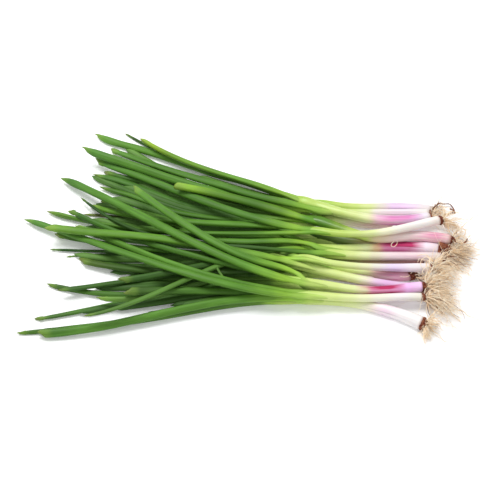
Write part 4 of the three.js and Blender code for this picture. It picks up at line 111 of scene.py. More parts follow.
# low pieces of the heap; the dark-coloured ones are also painted shade in the gaps between the other leaves and
# shanks
LOWER = [
    ("L", [(-129.292, -67.0823, 2.2, 1.83), (-120.982, -67.1588, 2.2, 3.05), (-112.882, -67.2388, 2.2, 3.05), (-104.792, -67.2088, 2.2, 3.05), (-96.7122, -66.9988, 2.2, 3.05), (-88.6522, -66.5788, 2.2, 3.05), (-80.6022, -66.0088, 2.2, 3.05), (-72.5622, -65.2688, 2.2, 3.05), (-64.5222, -64.3988, 2.2, 3.05), (-56.4822, -63.4488, 2.2, 3.05), (-48.4422, -62.4488, 2.2, 3.05), (-40.3922, -61.4288, 2.2, 3.05), (-32.3322, -60.4588, 2.2, 3.05), (-24.2422, -59.6088, 2.2, 3.05), (-16.1322, -58.9188, 2.2, 3.05), (-8.0122, -58.4688, 2.2, 3.05), (0.127805, -58.2588, 2.2, 3.05), (8.2678, -58.3088, 2.2, 3.05), (16.4078, -58.5688, 2.2, 3.05), (24.5178, -59.1388, 2.2, 3.05), (32.6278, -59.9046, 2.2, 2.9), (40.7178, -60.9105, 2.2, 2.44), (48.7978, -62.1065, 2.2, 1.98), (56.8478, -63.444, 2.2, 1.53)]),
    ("L", [(-112.242, -90.7539, 3.8, 1.75), (-104.922, -89.4922, 3.8, 2.92), (-97.7722, -88.2922, 3.8, 2.92), (-90.6122, -87.0822, 3.8, 2.92), (-83.4422, -85.8322, 3.8, 2.92), (-76.2622, -84.5722, 3.8, 2.92), (-69.0822, -83.2722, 3.8, 2.92), (-61.8922, -81.9422, 3.8, 2.92), (-54.6922, -80.5922, 3.8, 2.92), (-47.4822, -79.2222, 3.8, 2.92), (-40.2522, -77.8522, 3.8, 2.92), (-33.0122, -76.4922, 3.8, 2.92), (-25.7522, -75.1922, 3.8, 2.92), (-18.4822, -73.9322, 3.8, 2.92), (-11.1722, -72.7922, 3.8, 2.92), (-3.8522, -71.7422, 3.8, 2.92), (3.4878, -70.8522, 3.8, 2.92), (10.8578, -70.0722, 3.8, 2.92), (18.2278, -69.4622, 3.8, 2.92), (25.6178, -68.9922, 3.8, 2.92), (33.0178, -68.7081, 3.8, 2.77), (40.4378, -68.5772, 3.8, 2.33), (47.8578, -68.588, 3.8, 1.9), (55.2878, -68.7172, 3.8, 1.46)]),
    ("L", [(-120.882, 36.5669, 2.02, 1.94), (-112.042, 32.2769, 3.31, 3.23), (-103.472, 28.9469, 3.31, 3.23), (-94.9922, 25.3069, 3.31, 3.23), (-86.6122, 21.3369, 3.31, 3.23), (-78.2922, 17.3069, 3.31, 3.23), (-69.9722, 13.5169, 3.31, 3.23), (-61.6122, 10.0969, 3.31, 3.23), (-53.1822, 7.27688, 3.31, 3.23), (-44.7122, 4.93688, 3.31, 3.23), (-36.2322, 2.89688, 3.31, 3.23), (-27.7522, 1.12688, 3.31, 3.23), (-19.2622, -0.463123, 3.31, 3.23), (-10.7922, -2.02312, 3.31, 3.23), (-2.3422, -3.68312, 3.31, 3.23), (6.0578, -5.54312, 3.31, 3.23), (14.3778, -7.87312, 3.31, 3.23), (22.5978, -10.5331, 3.31, 3.23), (30.7278, -13.4931, 3.31, 3.23), (38.7578, -16.7431, 3.31, 3.23), (46.6878, -20.1531, 3.15, 3.07), (54.5078, -23.5631, 2.66, 2.58), (62.2178, -27.2131, 2.18, 2.1), (69.8278, -31.0831, 1.69, 1.61)]),
    ("L", [(-82.6822, 47.1969, 1.89, 1.81), (-76.0522, 45.0236, 2.2, 3.01), (-69.5622, 43.2736, 2.2, 3.01), (-63.0922, 41.4836, 2.2, 3.01), (-56.6322, 39.7236, 2.2, 3.01), (-50.1922, 37.9136, 2.2, 3.01), (-43.7622, 36.1436, 2.2, 3.01), (-37.3522, 34.3536, 2.2, 3.01), (-30.9522, 32.5836, 2.2, 3.01), (-24.5622, 30.7936, 2.2, 3.01), (-18.1922, 29.0136, 2.2, 3.01), (-11.8322, 27.2436, 2.2, 3.01), (-5.4922, 25.4736, 2.2, 3.01), (0.837805, 23.7036, 2.2, 3.01), (7.1578, 21.9436, 2.2, 3.01), (13.4578, 20.1936, 2.2, 3.01), (19.7578, 18.4436, 2.2, 3.01), (26.0378, 16.7036, 2.2, 3.01), (32.2978, 14.9736, 2.2, 3.01), (38.5578, 13.2536, 2.2, 3.01), (44.8078, 11.5477, 2.2, 2.86), (51.0678, 9.87019, 2.2, 2.41), (57.3178, 8.34688, 2.04, 1.96), (63.5678, 7.06688, 1.59, 1.51)]),
    ("L", [(-149.332, -31.3951, 3.8, 1.82), (-139.642, -33.6399, 3.8, 3.03), (-130.182, -35.3799, 3.8, 3.03), (-120.742, -36.6399, 3.8, 3.03), (-111.322, -37.3899, 3.8, 3.03), (-101.922, -37.6899, 3.8, 3.03), (-92.5522, -37.5799, 3.8, 3.03), (-83.2122, -37.1299, 3.8, 3.03), (-73.8822, -36.3799, 3.8, 3.03), (-64.5722, -35.3799, 3.8, 3.03), (-55.2722, -34.1499, 3.8, 3.03), (-45.9722, -32.7499, 3.8, 3.03), (-36.6722, -31.2399, 3.8, 3.03), (-27.3722, -29.6499, 3.8, 3.03), (-18.0522, -27.9999, 3.8, 3.03), (-8.7122, -26.3299, 3.8, 3.03), (0.647805, -24.6899, 3.8, 3.03), (10.0278, -23.0899, 3.8, 3.03), (19.4378, -21.5999, 3.8, 3.03), (28.8778, -20.2299, 3.8, 3.03), (38.3578, -19.0258, 3.8, 2.88), (47.8678, -18.0417, 3.8, 2.42), (57.4078, -17.2693, 3.8, 1.97), (66.9678, -16.7452, 3.8, 1.51)]),
    ("L", [(-136.452, 7.86887, 5.4, 1.83), (-127.572, 4.92245, 5.4, 3.05), (-118.912, 2.34245, 5.4, 3.05), (-110.262, 0.0524467, 5.4, 3.05), (-101.602, -1.93755, 5.4, 3.05), (-92.9622, -3.63755, 5.4, 3.05), (-84.3122, -5.09755, 5.4, 3.05), (-75.6822, -6.31755, 5.4, 3.05), (-67.0522, -7.35755, 5.4, 3.05), (-58.4322, -8.21755, 5.4, 3.05), (-49.8122, -8.90755, 5.4, 3.05), (-41.2022, -9.46755, 5.4, 3.05), (-32.6022, -9.92755, 5.4, 3.05), (-24.0022, -10.2976, 5.4, 3.05), (-15.4022, -10.5776, 5.4, 3.05), (-6.8022, -10.7976, 5.4, 3.05), (1.7878, -10.9776, 5.4, 3.05), (10.3778, -11.1576, 5.4, 3.05), (18.9678, -11.3776, 5.4, 3.05), (27.5478, -11.6476, 5.4, 3.05), (36.1378, -12.0434, 5.4, 2.9), (44.7178, -12.6193, 5.4, 2.44), (53.2978, -13.4153, 5.4, 1.98), (61.8378, -14.4728, 5.4, 1.53)]),
    ("L", [(-173.992, -114.241, 2.2, 1.6), (-164.072, -113.062, 2.2, 2.66), (-154.402, -111.942, 2.2, 2.66), (-144.742, -110.722, 2.2, 2.66), (-135.072, -109.402, 2.2, 2.66), (-125.402, -107.992, 2.2, 2.66), (-115.732, -106.482, 2.2, 2.66), (-106.062, -104.872, 2.2, 2.66), (-96.3822, -103.172, 2.2, 2.66), (-86.7022, -101.352, 2.2, 2.66), (-77.0222, -99.432, 2.2, 2.66), (-67.3322, -97.402, 2.2, 2.66), (-57.6322, -95.262, 2.2, 2.66), (-47.9122, -93.052, 2.2, 2.66), (-38.1722, -90.842, 2.2, 2.66), (-28.3822, -88.722, 2.2, 2.66), (-18.5422, -86.762, 2.2, 2.66), (-8.6422, -85.032, 2.2, 2.66), (1.3078, -83.632, 2.2, 2.66), (11.3078, -82.592, 2.2, 2.66), (21.3278, -81.881, 2.2, 2.53), (31.3878, -81.6066, 2.2, 2.13), (41.4478, -81.6822, 2.2, 1.73), (51.5078, -82.0578, 2.2, 1.33)]),
    ("L", [(-112.042, 49.0944, 3.8, 1.86), (-104.172, 45.7148, 3.8, 3.1), (-96.5722, 42.1348, 3.8, 3.1), (-89.0522, 38.3748, 3.8, 3.1), (-81.5922, 34.5448, 3.8, 3.1), (-74.1422, 30.7948, 3.8, 3.1), (-66.6722, 27.2948, 3.8, 3.1), (-59.1922, 24.0648, 3.8, 3.1), (-51.6522, 21.2348, 3.8, 3.1), (-44.0822, 18.7848, 3.8, 3.1), (-36.5022, 16.6148, 3.8, 3.1), (-28.8922, 14.7448, 3.8, 3.1), (-21.2822, 13.1148, 3.8, 3.1), (-13.6622, 11.6648, 3.8, 3.1), (-6.0422, 10.4148, 3.8, 3.1), (1.5778, 9.3148, 3.8, 3.1), (9.1978, 8.2948, 3.8, 3.1), (16.8178, 7.3348, 3.8, 3.1), (24.4178, 6.4248, 3.8, 3.1), (32.0178, 5.5148, 3.8, 3.1), (39.6178, 4.56895, 3.8, 2.95), (47.2178, 3.55462, 3.8, 2.48), (54.7978, 2.43868, 3.8, 2.02), (62.3678, 1.21435, 3.8, 1.55)]),
    ("L", [(-129.212, -40.9231, 1.86, 1.78), (-120.342, -43.3531, 3.04, 2.96), (-111.692, -44.3631, 3.04, 2.96), (-103.042, -44.9931, 3.04, 2.96), (-94.4222, -45.2431, 3.04, 2.96), (-85.8122, -45.1731, 3.04, 2.96), (-77.2322, -44.7731, 3.04, 2.96), (-68.6622, -44.0631, 3.04, 2.96), (-60.1222, -43.0531, 3.04, 2.96), (-51.6122, -41.7331, 3.04, 2.96), (-43.1122, -40.1331, 3.04, 2.96), (-34.6322, -38.3131, 3.04, 2.96), (-26.1522, -36.3631, 3.04, 2.96), (-17.6622, -34.3231, 3.04, 2.96), (-9.1622, -32.2331, 3.04, 2.96), (-0.632195, -30.1631, 3.04, 2.96), (7.9278, -28.1531, 3.04, 2.96), (16.5278, -26.2631, 3.04, 2.96), (25.1678, -24.5431, 3.04, 2.96), (33.8478, -23.0531, 3.04, 2.96), (42.5678, -21.7131, 2.9, 2.82), (51.3378, -20.4831, 2.45, 2.37), (60.1278, -19.6131, 2.01, 1.93), (68.9178, -19.1331, 1.56, 1.48)]),
    ("L", [(-139.862, -6.09312, 1.88, 1.8), (-131.162, -8.2748, 2.2, 3), (-122.702, -10.0148, 2.2, 3), (-114.252, -11.6348, 2.2, 3), (-105.812, -13.1348, 2.2, 3), (-97.3822, -14.5048, 2.2, 3), (-88.9622, -15.7848, 2.2, 3), (-80.5622, -16.9748, 2.2, 3), (-72.1622, -18.1048, 2.2, 3), (-63.7822, -19.1548, 2.2, 3), (-55.4022, -20.1548, 2.2, 3), (-47.0322, -21.0848, 2.2, 3), (-38.6722, -21.9648, 2.2, 3), (-30.3222, -22.7948, 2.2, 3), (-21.9722, -23.5848, 2.2, 3), (-13.6322, -24.3348, 2.2, 3), (-5.3022, -25.0448, 2.2, 3), (3.0278, -25.7348, 2.2, 3), (11.3478, -26.3948, 2.2, 3), (19.6678, -27.0248, 2.2, 3), (27.9778, -27.6407, 2.2, 2.85), (36.3078, -28.2482, 2.2, 2.4), (44.6378, -28.6931, 2.03, 1.95), (52.9678, -28.9031, 1.58, 1.5)]),
    ("L", [(-100.362, -55.7196, 3.8, 1.45), (-93.3722, -56.4657, 3.8, 2.42), (-86.5122, -57.1457, 3.8, 2.42), (-79.6622, -57.7257, 3.8, 2.42), (-72.8122, -58.2257, 3.8, 2.42), (-65.9722, -58.6057, 3.8, 2.42), (-59.1322, -58.9157, 3.8, 2.42), (-52.3022, -59.1657, 3.8, 2.42), (-45.4722, -59.3257, 3.8, 2.42), (-38.6422, -59.4257, 3.8, 2.42), (-31.8122, -59.4757, 3.8, 2.42), (-24.9922, -59.4657, 3.8, 2.42), (-18.1622, -59.4157, 3.8, 2.42), (-11.3422, -59.3257, 3.8, 2.42), (-4.5122, -59.2057, 3.8, 2.42), (2.3078, -59.0557, 3.8, 2.42), (9.1378, -58.8757, 3.8, 2.42), (15.9678, -58.6857, 3.8, 2.42), (22.7978, -58.4857, 3.8, 2.42), (29.6278, -58.2757, 3.8, 2.42), (36.4678, -58.0864, 3.8, 2.3), (43.3278, -57.8884, 3.8, 1.94), (50.1878, -57.7289, 3.8, 1.57), (57.0578, -57.5709, 3.8, 1.21)]),
    ("L", [(-37.6722, -54.1469, 5.4, 1.58), (-33.4222, -54.4259, 5.4, 2.63), (-29.2422, -54.6959, 5.4, 2.63), (-25.0522, -54.9359, 5.4, 2.63), (-20.8622, -55.1659, 5.4, 2.63), (-16.6822, -55.3559, 5.4, 2.63), (-12.5022, -55.5259, 5.4, 2.63), (-8.3122, -55.6659, 5.4, 2.63), (-4.1322, -55.7759, 5.4, 2.63), (0.0478045, -55.8659, 5.4, 2.63), (4.2278, -55.9259, 5.4, 2.63), (8.4178, -55.9659, 5.4, 2.63), (12.5978, -55.9859, 5.4, 2.63), (16.7778, -55.9759, 5.4, 2.63), (20.9578, -55.9559, 5.4, 2.63), (25.1478, -55.8959, 5.4, 2.63), (29.3278, -55.8259, 5.4, 2.63), (33.5078, -55.7359, 5.4, 2.63), (37.6978, -55.6159, 5.4, 2.63), (41.8778, -55.4759, 5.4, 2.63), (46.0778, -55.315, 5.4, 2.5), (50.2878, -55.1406, 5.4, 2.1), (54.5078, -54.9478, 5.4, 1.71), (58.7278, -54.7534, 5.4, 1.31)]),
    ("L", [(-122.612, 11.3311, 2.2, 1.56), (-114.552, 9.74209, 2.2, 2.61), (-106.692, 8.07209, 2.2, 2.61), (-98.8422, 6.23209, 2.2, 2.61), (-91.0322, 4.28209, 2.2, 2.61), (-83.2522, 2.22209, 2.2, 2.61), (-75.4922, 0.0820867, 2.2, 2.61), (-67.7722, -2.17791, 2.2, 2.61), (-60.0822, -4.49791, 2.2, 2.61), (-52.4222, -6.86791, 2.2, 2.61), (-44.7922, -9.27791, 2.2, 2.61), (-37.2022, -11.7279, 2.2, 2.61), (-29.6222, -14.1879, 2.2, 2.61), (-22.0822, -16.6579, 2.2, 2.61), (-14.5622, -19.1179, 2.2, 2.61), (-7.0622, -21.5679, 2.2, 2.61), (0.417805, -23.9979, 2.2, 2.61), (7.8878, -26.3779, 2.2, 2.61), (15.3278, -28.7179, 2.2, 2.61), (22.7678, -31.0079, 2.2, 2.61), (30.1978, -33.2254, 2.2, 2.47), (37.6378, -35.3726, 2.2, 2.08), (45.0778, -37.4298, 2.2, 1.69), (52.5178, -39.407, 2.2, 1.3)]),
    ("L", [(-75.4022, 42.4133, 3.8, 1.83), (-68.9922, 40.1068, 3.8, 3.05), (-62.7122, 37.9868, 3.8, 3.05), (-56.4422, 35.9268, 3.8, 3.05), (-50.1722, 33.9468, 3.8, 3.05), (-43.9022, 32.0468, 3.8, 3.05), (-37.6422, 30.2068, 3.8, 3.05), (-31.3922, 28.4468, 3.8, 3.05), (-25.1322, 26.7668, 3.8, 3.05), (-18.8922, 25.1568, 3.8, 3.05), (-12.6422, 23.6168, 3.8, 3.05), (-6.4022, 22.1468, 3.8, 3.05), (-0.162195, 20.7368, 3.8, 3.05), (6.0678, 19.4068, 3.8, 3.05), (12.2978, 18.1168, 3.8, 3.05), (18.5378, 16.9268, 3.8, 3.05), (24.7578, 15.7668, 3.8, 3.05), (30.9878, 14.6968, 3.8, 3.05), (37.2178, 13.6668, 3.8, 3.05), (43.4378, 12.7068, 3.8, 3.05), (49.6678, 11.811, 3.8, 2.9), (55.9278, 10.9751, 3.8, 2.44), (62.1878, 10.2091, 3.8, 1.98), (68.4578, 9.46318, 3.8, 1.52)]),
    ("L", [(-55.9822, -89.7605, 5.4, 1.95), (-51.3122, -88.5198, 5.4, 3.25), (-46.7422, -87.3898, 5.4, 3.25), (-42.1522, -86.3098, 5.4, 3.25), (-37.5522, -85.2598, 5.4, 3.25), (-32.9322, -84.2398, 5.4, 3.25), (-28.3022, -83.2998, 5.4, 3.25), (-23.6622, -82.3698, 5.4, 3.25), (-19.0022, -81.5498, 5.4, 3.25), (-14.3322, -80.7698, 5.4, 3.25), (-9.6522, -80.0598, 5.4, 3.25), (-4.9522, -79.4398, 5.4, 3.25), (-0.252195, -78.8798, 5.4, 3.25), (4.4678, -78.4498, 5.4, 3.25), (9.1878, -78.0998, 5.4, 3.25), (13.9178, -77.8398, 5.4, 3.25), (18.6478, -77.6898, 5.4, 3.25), (23.3778, -77.6598, 5.4, 3.25), (28.1178, -77.7198, 5.4, 3.25), (32.8378, -77.9598, 5.4, 3.25), (37.5578, -78.284, 5.4, 3.09), (42.2878, -78.7651, 5.4, 2.6), (47.0078, -79.4162, 5.4, 2.11), (51.7278, -80.0789, 5.4, 1.63)]),
    ("L", [(-109.882, -63.221, 2.2, 1.66), (-102.692, -63.0997, 2.2, 2.77), (-95.6722, -63.0497, 2.2, 2.77), (-88.6422, -63.0097, 2.2, 2.77), (-81.6122, -63.0097, 2.2, 2.77), (-74.5722, -63.0297, 2.2, 2.77), (-67.5422, -63.0797, 2.2, 2.77), (-60.5122, -63.1497, 2.2, 2.77), (-53.4722, -63.2497, 2.2, 2.77), (-46.4422, -63.3897, 2.2, 2.77), (-39.4122, -63.5497, 2.2, 2.77), (-32.3722, -63.7497, 2.2, 2.77), (-25.3422, -63.9697, 2.2, 2.77), (-18.3222, -64.2197, 2.2, 2.77), (-11.2922, -64.5197, 2.2, 2.77), (-4.2722, -64.8397, 2.2, 2.77), (2.7478, -65.1997, 2.2, 2.77), (9.7578, -65.5997, 2.2, 2.77), (16.7678, -66.0197, 2.2, 2.77), (23.7678, -66.4897, 2.2, 2.77), (30.7678, -66.9787, 2.2, 2.64), (37.7778, -67.5411, 2.2, 2.22), (44.7878, -68.1435, 2.2, 1.8), (51.7878, -68.7575, 2.2, 1.39)]),
    ("L", [(-116.552, -50.1531, 1.73, 1.65), (-108.822, -50.5331, 2.82, 2.74), (-101.242, -50.0331, 2.82, 2.74), (-93.6722, -49.5131, 2.82, 2.74), (-86.0822, -49.0031, 2.82, 2.74), (-78.4922, -48.5031, 2.82, 2.74), (-70.9022, -48.0131, 2.82, 2.74), (-63.3022, -47.5431, 2.82, 2.74), (-55.6922, -47.0831, 2.82, 2.74), (-48.0822, -46.6331, 2.82, 2.74), (-40.4622, -46.2131, 2.82, 2.74), (-32.8422, -45.8131, 2.82, 2.74), (-25.2122, -45.4331, 2.82, 2.74), (-17.5822, -45.0831, 2.82, 2.74), (-9.9422, -44.7531, 2.82, 2.74), (-2.3022, -44.4631, 2.82, 2.74), (5.3378, -44.2031, 2.82, 2.74), (12.9878, -43.9831, 2.82, 2.74), (20.6378, -43.8031, 2.82, 2.74), (28.2878, -43.6531, 2.82, 2.74), (35.9478, -43.4331, 2.69, 2.61), (43.6278, -43.0431, 2.28, 2.2), (51.3078, -42.6931, 1.86, 1.78), (58.9978, -42.3831, 1.45, 1.37)]),
    ("L", [(-80.0322, 5.376, 5.4, 1.5), (-73.7522, 3.585, 5.4, 2.5), (-67.5722, 2.015, 5.4, 2.5), (-61.3922, 0.564997, 5.4, 2.5), (-55.2122, -0.725003, 5.4, 2.5), (-49.0322, -1.845, 5.4, 2.5), (-42.8422, -2.845, 5.4, 2.5), (-36.6622, -3.705, 5.4, 2.5), (-30.4722, -4.455, 5.4, 2.5), (-24.2922, -5.115, 5.4, 2.5), (-18.1122, -5.715, 5.4, 2.5), (-11.9322, -6.205, 5.4, 2.5), (-5.7622, -6.675, 5.4, 2.5), (0.417805, -7.065, 5.4, 2.5), (6.5878, -7.445, 5.4, 2.5), (12.7578, -7.805, 5.4, 2.5), (18.9278, -8.155, 5.4, 2.5), (25.0978, -8.505, 5.4, 2.5), (31.2578, -8.875, 5.4, 2.5), (37.4178, -9.275, 5.4, 2.5), (43.5778, -9.72407, 5.4, 2.37), (49.7478, -10.2045, 5.4, 2), (55.9078, -10.7733, 5.4, 1.62), (62.0678, -11.3638, 5.4, 1.25)]),
    ("L", [(-34.7422, 50.6371, 2.2, 1.56), (-30.3022, 48.8397, 2.2, 2.6), (-25.9222, 47.1097, 2.2, 2.6), (-21.5722, 45.3597, 2.2, 2.6), (-17.2222, 43.5997, 2.2, 2.6), (-12.8922, 41.8297, 2.2, 2.6), (-8.5722, 40.0497, 2.2, 2.6), (-4.2522, 38.2697, 2.2, 2.6), (0.0478045, 36.4997, 2.2, 2.6), (4.3378, 34.7297, 2.2, 2.6), (8.6278, 32.9797, 2.2, 2.6), (12.9078, 31.2497, 2.2, 2.6), (17.1778, 29.5297, 2.2, 2.6), (21.4478, 27.8197, 2.2, 2.6), (25.7178, 26.1397, 2.2, 2.6), (29.9678, 24.4697, 2.2, 2.6), (34.2178, 22.8297, 2.2, 2.6), (38.4678, 21.1997, 2.2, 2.6), (42.7078, 19.5897, 2.2, 2.6), (46.9478, 18.0097, 2.2, 2.6), (51.1878, 16.4506, 2.2, 2.47), (55.4478, 14.9234, 2.2, 2.08), (59.7078, 13.4362, 2.2, 1.69), (63.9678, 11.949, 2.2, 1.3)]),
    ("L", [(-87.2122, -99.2632, 3.8, 1.92), (-81.1822, -97.9909, 3.8, 3.21), (-75.3022, -96.8209, 3.8, 3.21), (-69.4022, -95.6409, 3.8, 3.21), (-63.5022, -94.4409, 3.8, 3.21), (-57.5922, -93.2209, 3.8, 3.21), (-51.6822, -92.0009, 3.8, 3.21), (-45.7522, -90.7909, 3.8, 3.21), (-39.8122, -89.5909, 3.8, 3.21), (-33.8522, -88.4609, 3.8, 3.21), (-27.8822, -87.3609, 3.8, 3.21), (-21.8922, -86.3309, 3.8, 3.21), (-15.8722, -85.4209, 3.8, 3.21), (-9.8422, -84.5909, 3.8, 3.21), (-3.8022, -83.9009, 3.8, 3.21), (2.2578, -83.3309, 3.8, 3.21), (8.3378, -82.8809, 3.8, 3.21), (14.4178, -82.6209, 3.8, 3.21), (20.4978, -82.4509, 3.8, 3.21), (26.5778, -82.4709, 3.8, 3.21), (32.6678, -82.6252, 3.8, 3.05), (38.7678, -82.9279, 3.8, 2.57), (44.8578, -83.429, 3.8, 2.08), (50.9378, -83.9917, 3.8, 1.6)]),
    ("L", [(-44.4722, 60.2115, 5.4, 1.64), (-39.4722, 57.836, 5.4, 2.73), (-34.5422, 55.626, 5.4, 2.73), (-29.6322, 53.436, 5.4, 2.73), (-24.7222, 51.276, 5.4, 2.73), (-19.8122, 49.166, 5.4, 2.73), (-14.9122, 47.096, 5.4, 2.73), (-10.0222, 45.066, 5.4, 2.73), (-5.1222, 43.096, 5.4, 2.73), (-0.232195, 41.156, 5.4, 2.73), (4.6578, 39.286, 5.4, 2.73), (9.5378, 37.446, 5.4, 2.73), (14.4278, 35.676, 5.4, 2.73), (19.3178, 33.946, 5.4, 2.73), (24.1978, 32.256, 5.4, 2.73), (29.0778, 30.616, 5.4, 2.73), (33.9578, 29.016, 5.4, 2.73), (38.8478, 27.476, 5.4, 2.73), (43.7278, 25.986, 5.4, 2.73), (48.6078, 24.536, 5.4, 2.73), (53.4878, 23.1469, 5.4, 2.6), (58.3978, 21.8029, 5.4, 2.19), (63.3178, 20.5389, 5.4, 1.78), (68.2378, 19.3269, 5.35, 1.37)]),
    ("L", [(-139.262, -95.1113, 3.8, 1.56), (-131.032, -93.2087, 3.8, 2.6), (-122.982, -91.3487, 3.8, 2.6), (-114.922, -89.4487, 3.8, 2.6), (-106.832, -87.5487, 3.8, 2.6), (-98.7222, -85.6687, 3.8, 2.6), (-90.5822, -83.8587, 3.8, 2.6), (-82.3922, -82.1487, 3.8, 2.6), (-74.1722, -80.5687, 3.8, 2.6), (-65.9022, -79.1287, 3.8, 2.6), (-57.6022, -77.8587, 3.8, 2.6), (-49.2522, -76.7787, 3.8, 2.6), (-40.8822, -75.8787, 3.8, 2.6), (-32.4822, -75.1887, 3.8, 2.6), (-24.0522, -74.7687, 3.8, 2.6), (-15.6122, -74.5887, 3.8, 2.6), (-7.1722, -74.6487, 3.8, 2.6), (1.2678, -74.9887, 3.8, 2.6), (9.6878, -75.6487, 3.8, 2.6), (18.0778, -76.5687, 3.8, 2.6), (26.4378, -77.8478, 3.8, 2.47), (34.7478, -79.455, 3.8, 2.08), (43.0078, -81.3822, 3.8, 1.69), (51.1978, -83.5894, 3.8, 1.3)]),
    ("L", [(-62.9922, -88.8176, 5.4, 1.51), (-58.0022, -87.8402, 5.4, 2.52), (-53.0822, -86.9502, 5.4, 2.52), (-48.1522, -86.0902, 5.4, 2.52), (-43.2122, -85.2602, 5.4, 2.52), (-38.2722, -84.4602, 5.4, 2.52), (-33.3122, -83.7402, 5.4, 2.52), (-28.3422, -83.0402, 5.4, 2.52), (-23.3522, -82.4202, 5.4, 2.52), (-18.3622, -81.8702, 5.4, 2.52), (-13.3622, -81.3902, 5.4, 2.52), (-8.3522, -80.9902, 5.4, 2.52), (-3.3422, -80.6902, 5.4, 2.52), (1.6778, -80.4902, 5.4, 2.52), (6.7078, -80.3802, 5.4, 2.52), (11.7278, -80.3602, 5.4, 2.52), (16.7578, -80.4502, 5.4, 2.52), (21.7778, -80.6302, 5.4, 2.52), (26.7878, -80.9302, 5.4, 2.52), (31.7878, -81.3502, 5.4, 2.52), (36.7978, -81.8509, 5.4, 2.4), (41.7978, -82.4897, 5.4, 2.02), (46.7778, -83.2485, 5.4, 1.64), (51.7678, -83.9031, 5.24, 1.26)]),
    ("L", [(-142.682, 1.28982, 2.2, 1.68), (-133.772, -0.252113, 2.2, 2.81), (-125.082, -1.79211, 2.2, 2.81), (-116.422, -3.37211, 2.2, 2.81), (-107.772, -4.99211, 2.2, 2.81), (-99.1422, -6.66211, 2.2, 2.81), (-90.5322, -8.34211, 2.2, 2.81), (-81.9422, -10.0421, 2.2, 2.81), (-73.3822, -11.7821, 2.2, 2.81), (-64.8322, -13.5421, 2.2, 2.81), (-56.3022, -15.3021, 2.2, 2.81), (-47.7922, -17.0821, 2.2, 2.81), (-39.3022, -18.8621, 2.2, 2.81), (-30.8322, -20.6421, 2.2, 2.81), (-22.3822, -22.4121, 2.2, 2.81), (-13.9522, -24.1821, 2.2, 2.81), (-5.5422, -25.9321, 2.2, 2.81), (2.8578, -27.6821, 2.2, 2.81), (11.2378, -29.4021, 2.2, 2.81), (19.6078, -31.1021, 2.2, 2.81), (27.9578, -32.7796, 2.2, 2.67), (36.3178, -34.422, 2.2, 2.25), (44.6678, -36.0443, 2.2, 1.83), (53.0178, -37.6351, 2.2, 1.4)]),
    ("S", [(130.178, 3.21688, 3.5, 3.42), (124.968, 2.92688, 3.5, 3.42), (119.768, 2.77688, 3.5, 3.42), (114.588, 2.84688, 3.5, 3.42), (109.418, 3.07688, 3.5, 3.42), (104.258, 3.48688, 3.5, 3.42), (99.1278, 4.09688, 3.5, 3.42), (93.9978, 4.82688, 3.5, 3.42), (88.9078, 5.79688, 3.5, 3.42), (83.8178, 6.85688, 3.5, 3.42), (78.7578, 8.08688, 3.5, 3.42), (73.7178, 9.45688, 3.5, 3.42), (68.6778, 10.8969, 3.5, 3.42), (63.6678, 12.5469, 3.5, 3.42)]),
    ("L", [(-44.4187, 1.39086, 2.98, 3.4), (-9.03151, -0.954385, 2.98, 3.4), (26.2537, -3.29286, 2.98, 3.4), (61.3954, -6.78796, 2.98, 3.4), (77.1253, -9.10966, 2.98, 3.4)]),
    ("L", [(-28.116, -18.3301, 2.98, 3.2), (3.32988, -19.4753, 2.98, 3.2), (38.2697, -18.3301, 2.98, 3.2), (62.7701, -17.1833, 2.98, 3.2), (80.1975, -18.3301, 2.98, 3.2)]),
    ("L", [(-78.7855, 52.6326, 2.58, 3), (-50.9281, 37.7696, 2.58, 3), (-23.6001, 25.5837, 2.58, 3), (14.0234, 13.5753, 2.58, 3), (56.5649, 6.45389, 2.58, 3)]),
    ("L", [(-135.114, 28.0066, 2.58, 3.2), (-94.9088, 17.1594, 2.58, 3.2), (-49.7511, 1.7406, 2.58, 3.2), (3.32988, -11.0815, 2.58, 3.2), (61.01, -17.9904, 2.58, 3.2)]),
    ("L", [(-141.693, 62.6899, 2.58, 3), (-114.928, 47.6488, 2.58, 3), (-77.6382, 29.2207, 2.58, 3), (-23.3456, 10.0068, 2.58, 3), (56.4109, 1.7406, 2.58, 3)]),
    ("L", [(-112.869, 97.7424, 2.38, 3.2), (-89.3846, 79.4877, 2.38, 3.2), (-68.2821, 62.8803, 2.38, 3.2), (-38.4639, 45.3539, 2.38, 3.2), (3.32988, 25.7646, 2.38, 3.2), (51.3581, 10.1838, 2.38, 3.2)]),
    ("L", [(-98.9604, 54.0713, 2.38, 3.2), (-59.8006, 33.0565, 2.38, 3.2), (-23.5085, 19.737, 2.38, 3.2), (21.1181, 10.1838, 2.38, 3.2), (58.3135, 5.44877, 2.38, 3.2)]),
    ("L", [(-111.485, -25.8085, 2.38, 3.4), (-60.6724, -34.8409, 2.38, 3.4), (-8.71905, -42.6608, 2.38, 3.4), (46.181, -49.3025, 2.38, 3.4), (61.5258, -51.5041, 2.38, 3.4)]),
    ("L", [(-116.906, -45.9886, 2.38, 3.4), (-73.5866, -53.6994, 2.38, 3.4), (-22.202, -60.249, 2.38, 3.4), (28.7733, -65.6653, 2.38, 3.4), (59.2278, -67.8213, 2.38, 3.4)]),
    ("L", [(-88.3428, 60.354, 2.38, 3.2), (-62.0864, 45.3539, 2.38, 3.2), (-36.3814, 34.2781, 2.38, 3.2), (3.32988, 22.1427, 2.38, 3.2), (47.8328, 11.3719, 2.38, 3.2)]),
    ("L", [(-113.579, 80.7788, 2.38, 3.2), (-88.6183, 65.4142, 2.38, 3.2), (-60.4587, 50.3242, 2.38, 3.2), (-23.766, 35.5014, 2.38, 3.2), (33.658, 14.9465, 2.38, 3.2)]),
    ("K", [(-27.9297, -51.8692, 18.98, 1.05), (-25.2942, -57.3216, 18.98, 1.05), (-21.803, -64.8909, 18.98, 1.05), (-18.376, -70.2523, 18.98, 1.05)]),
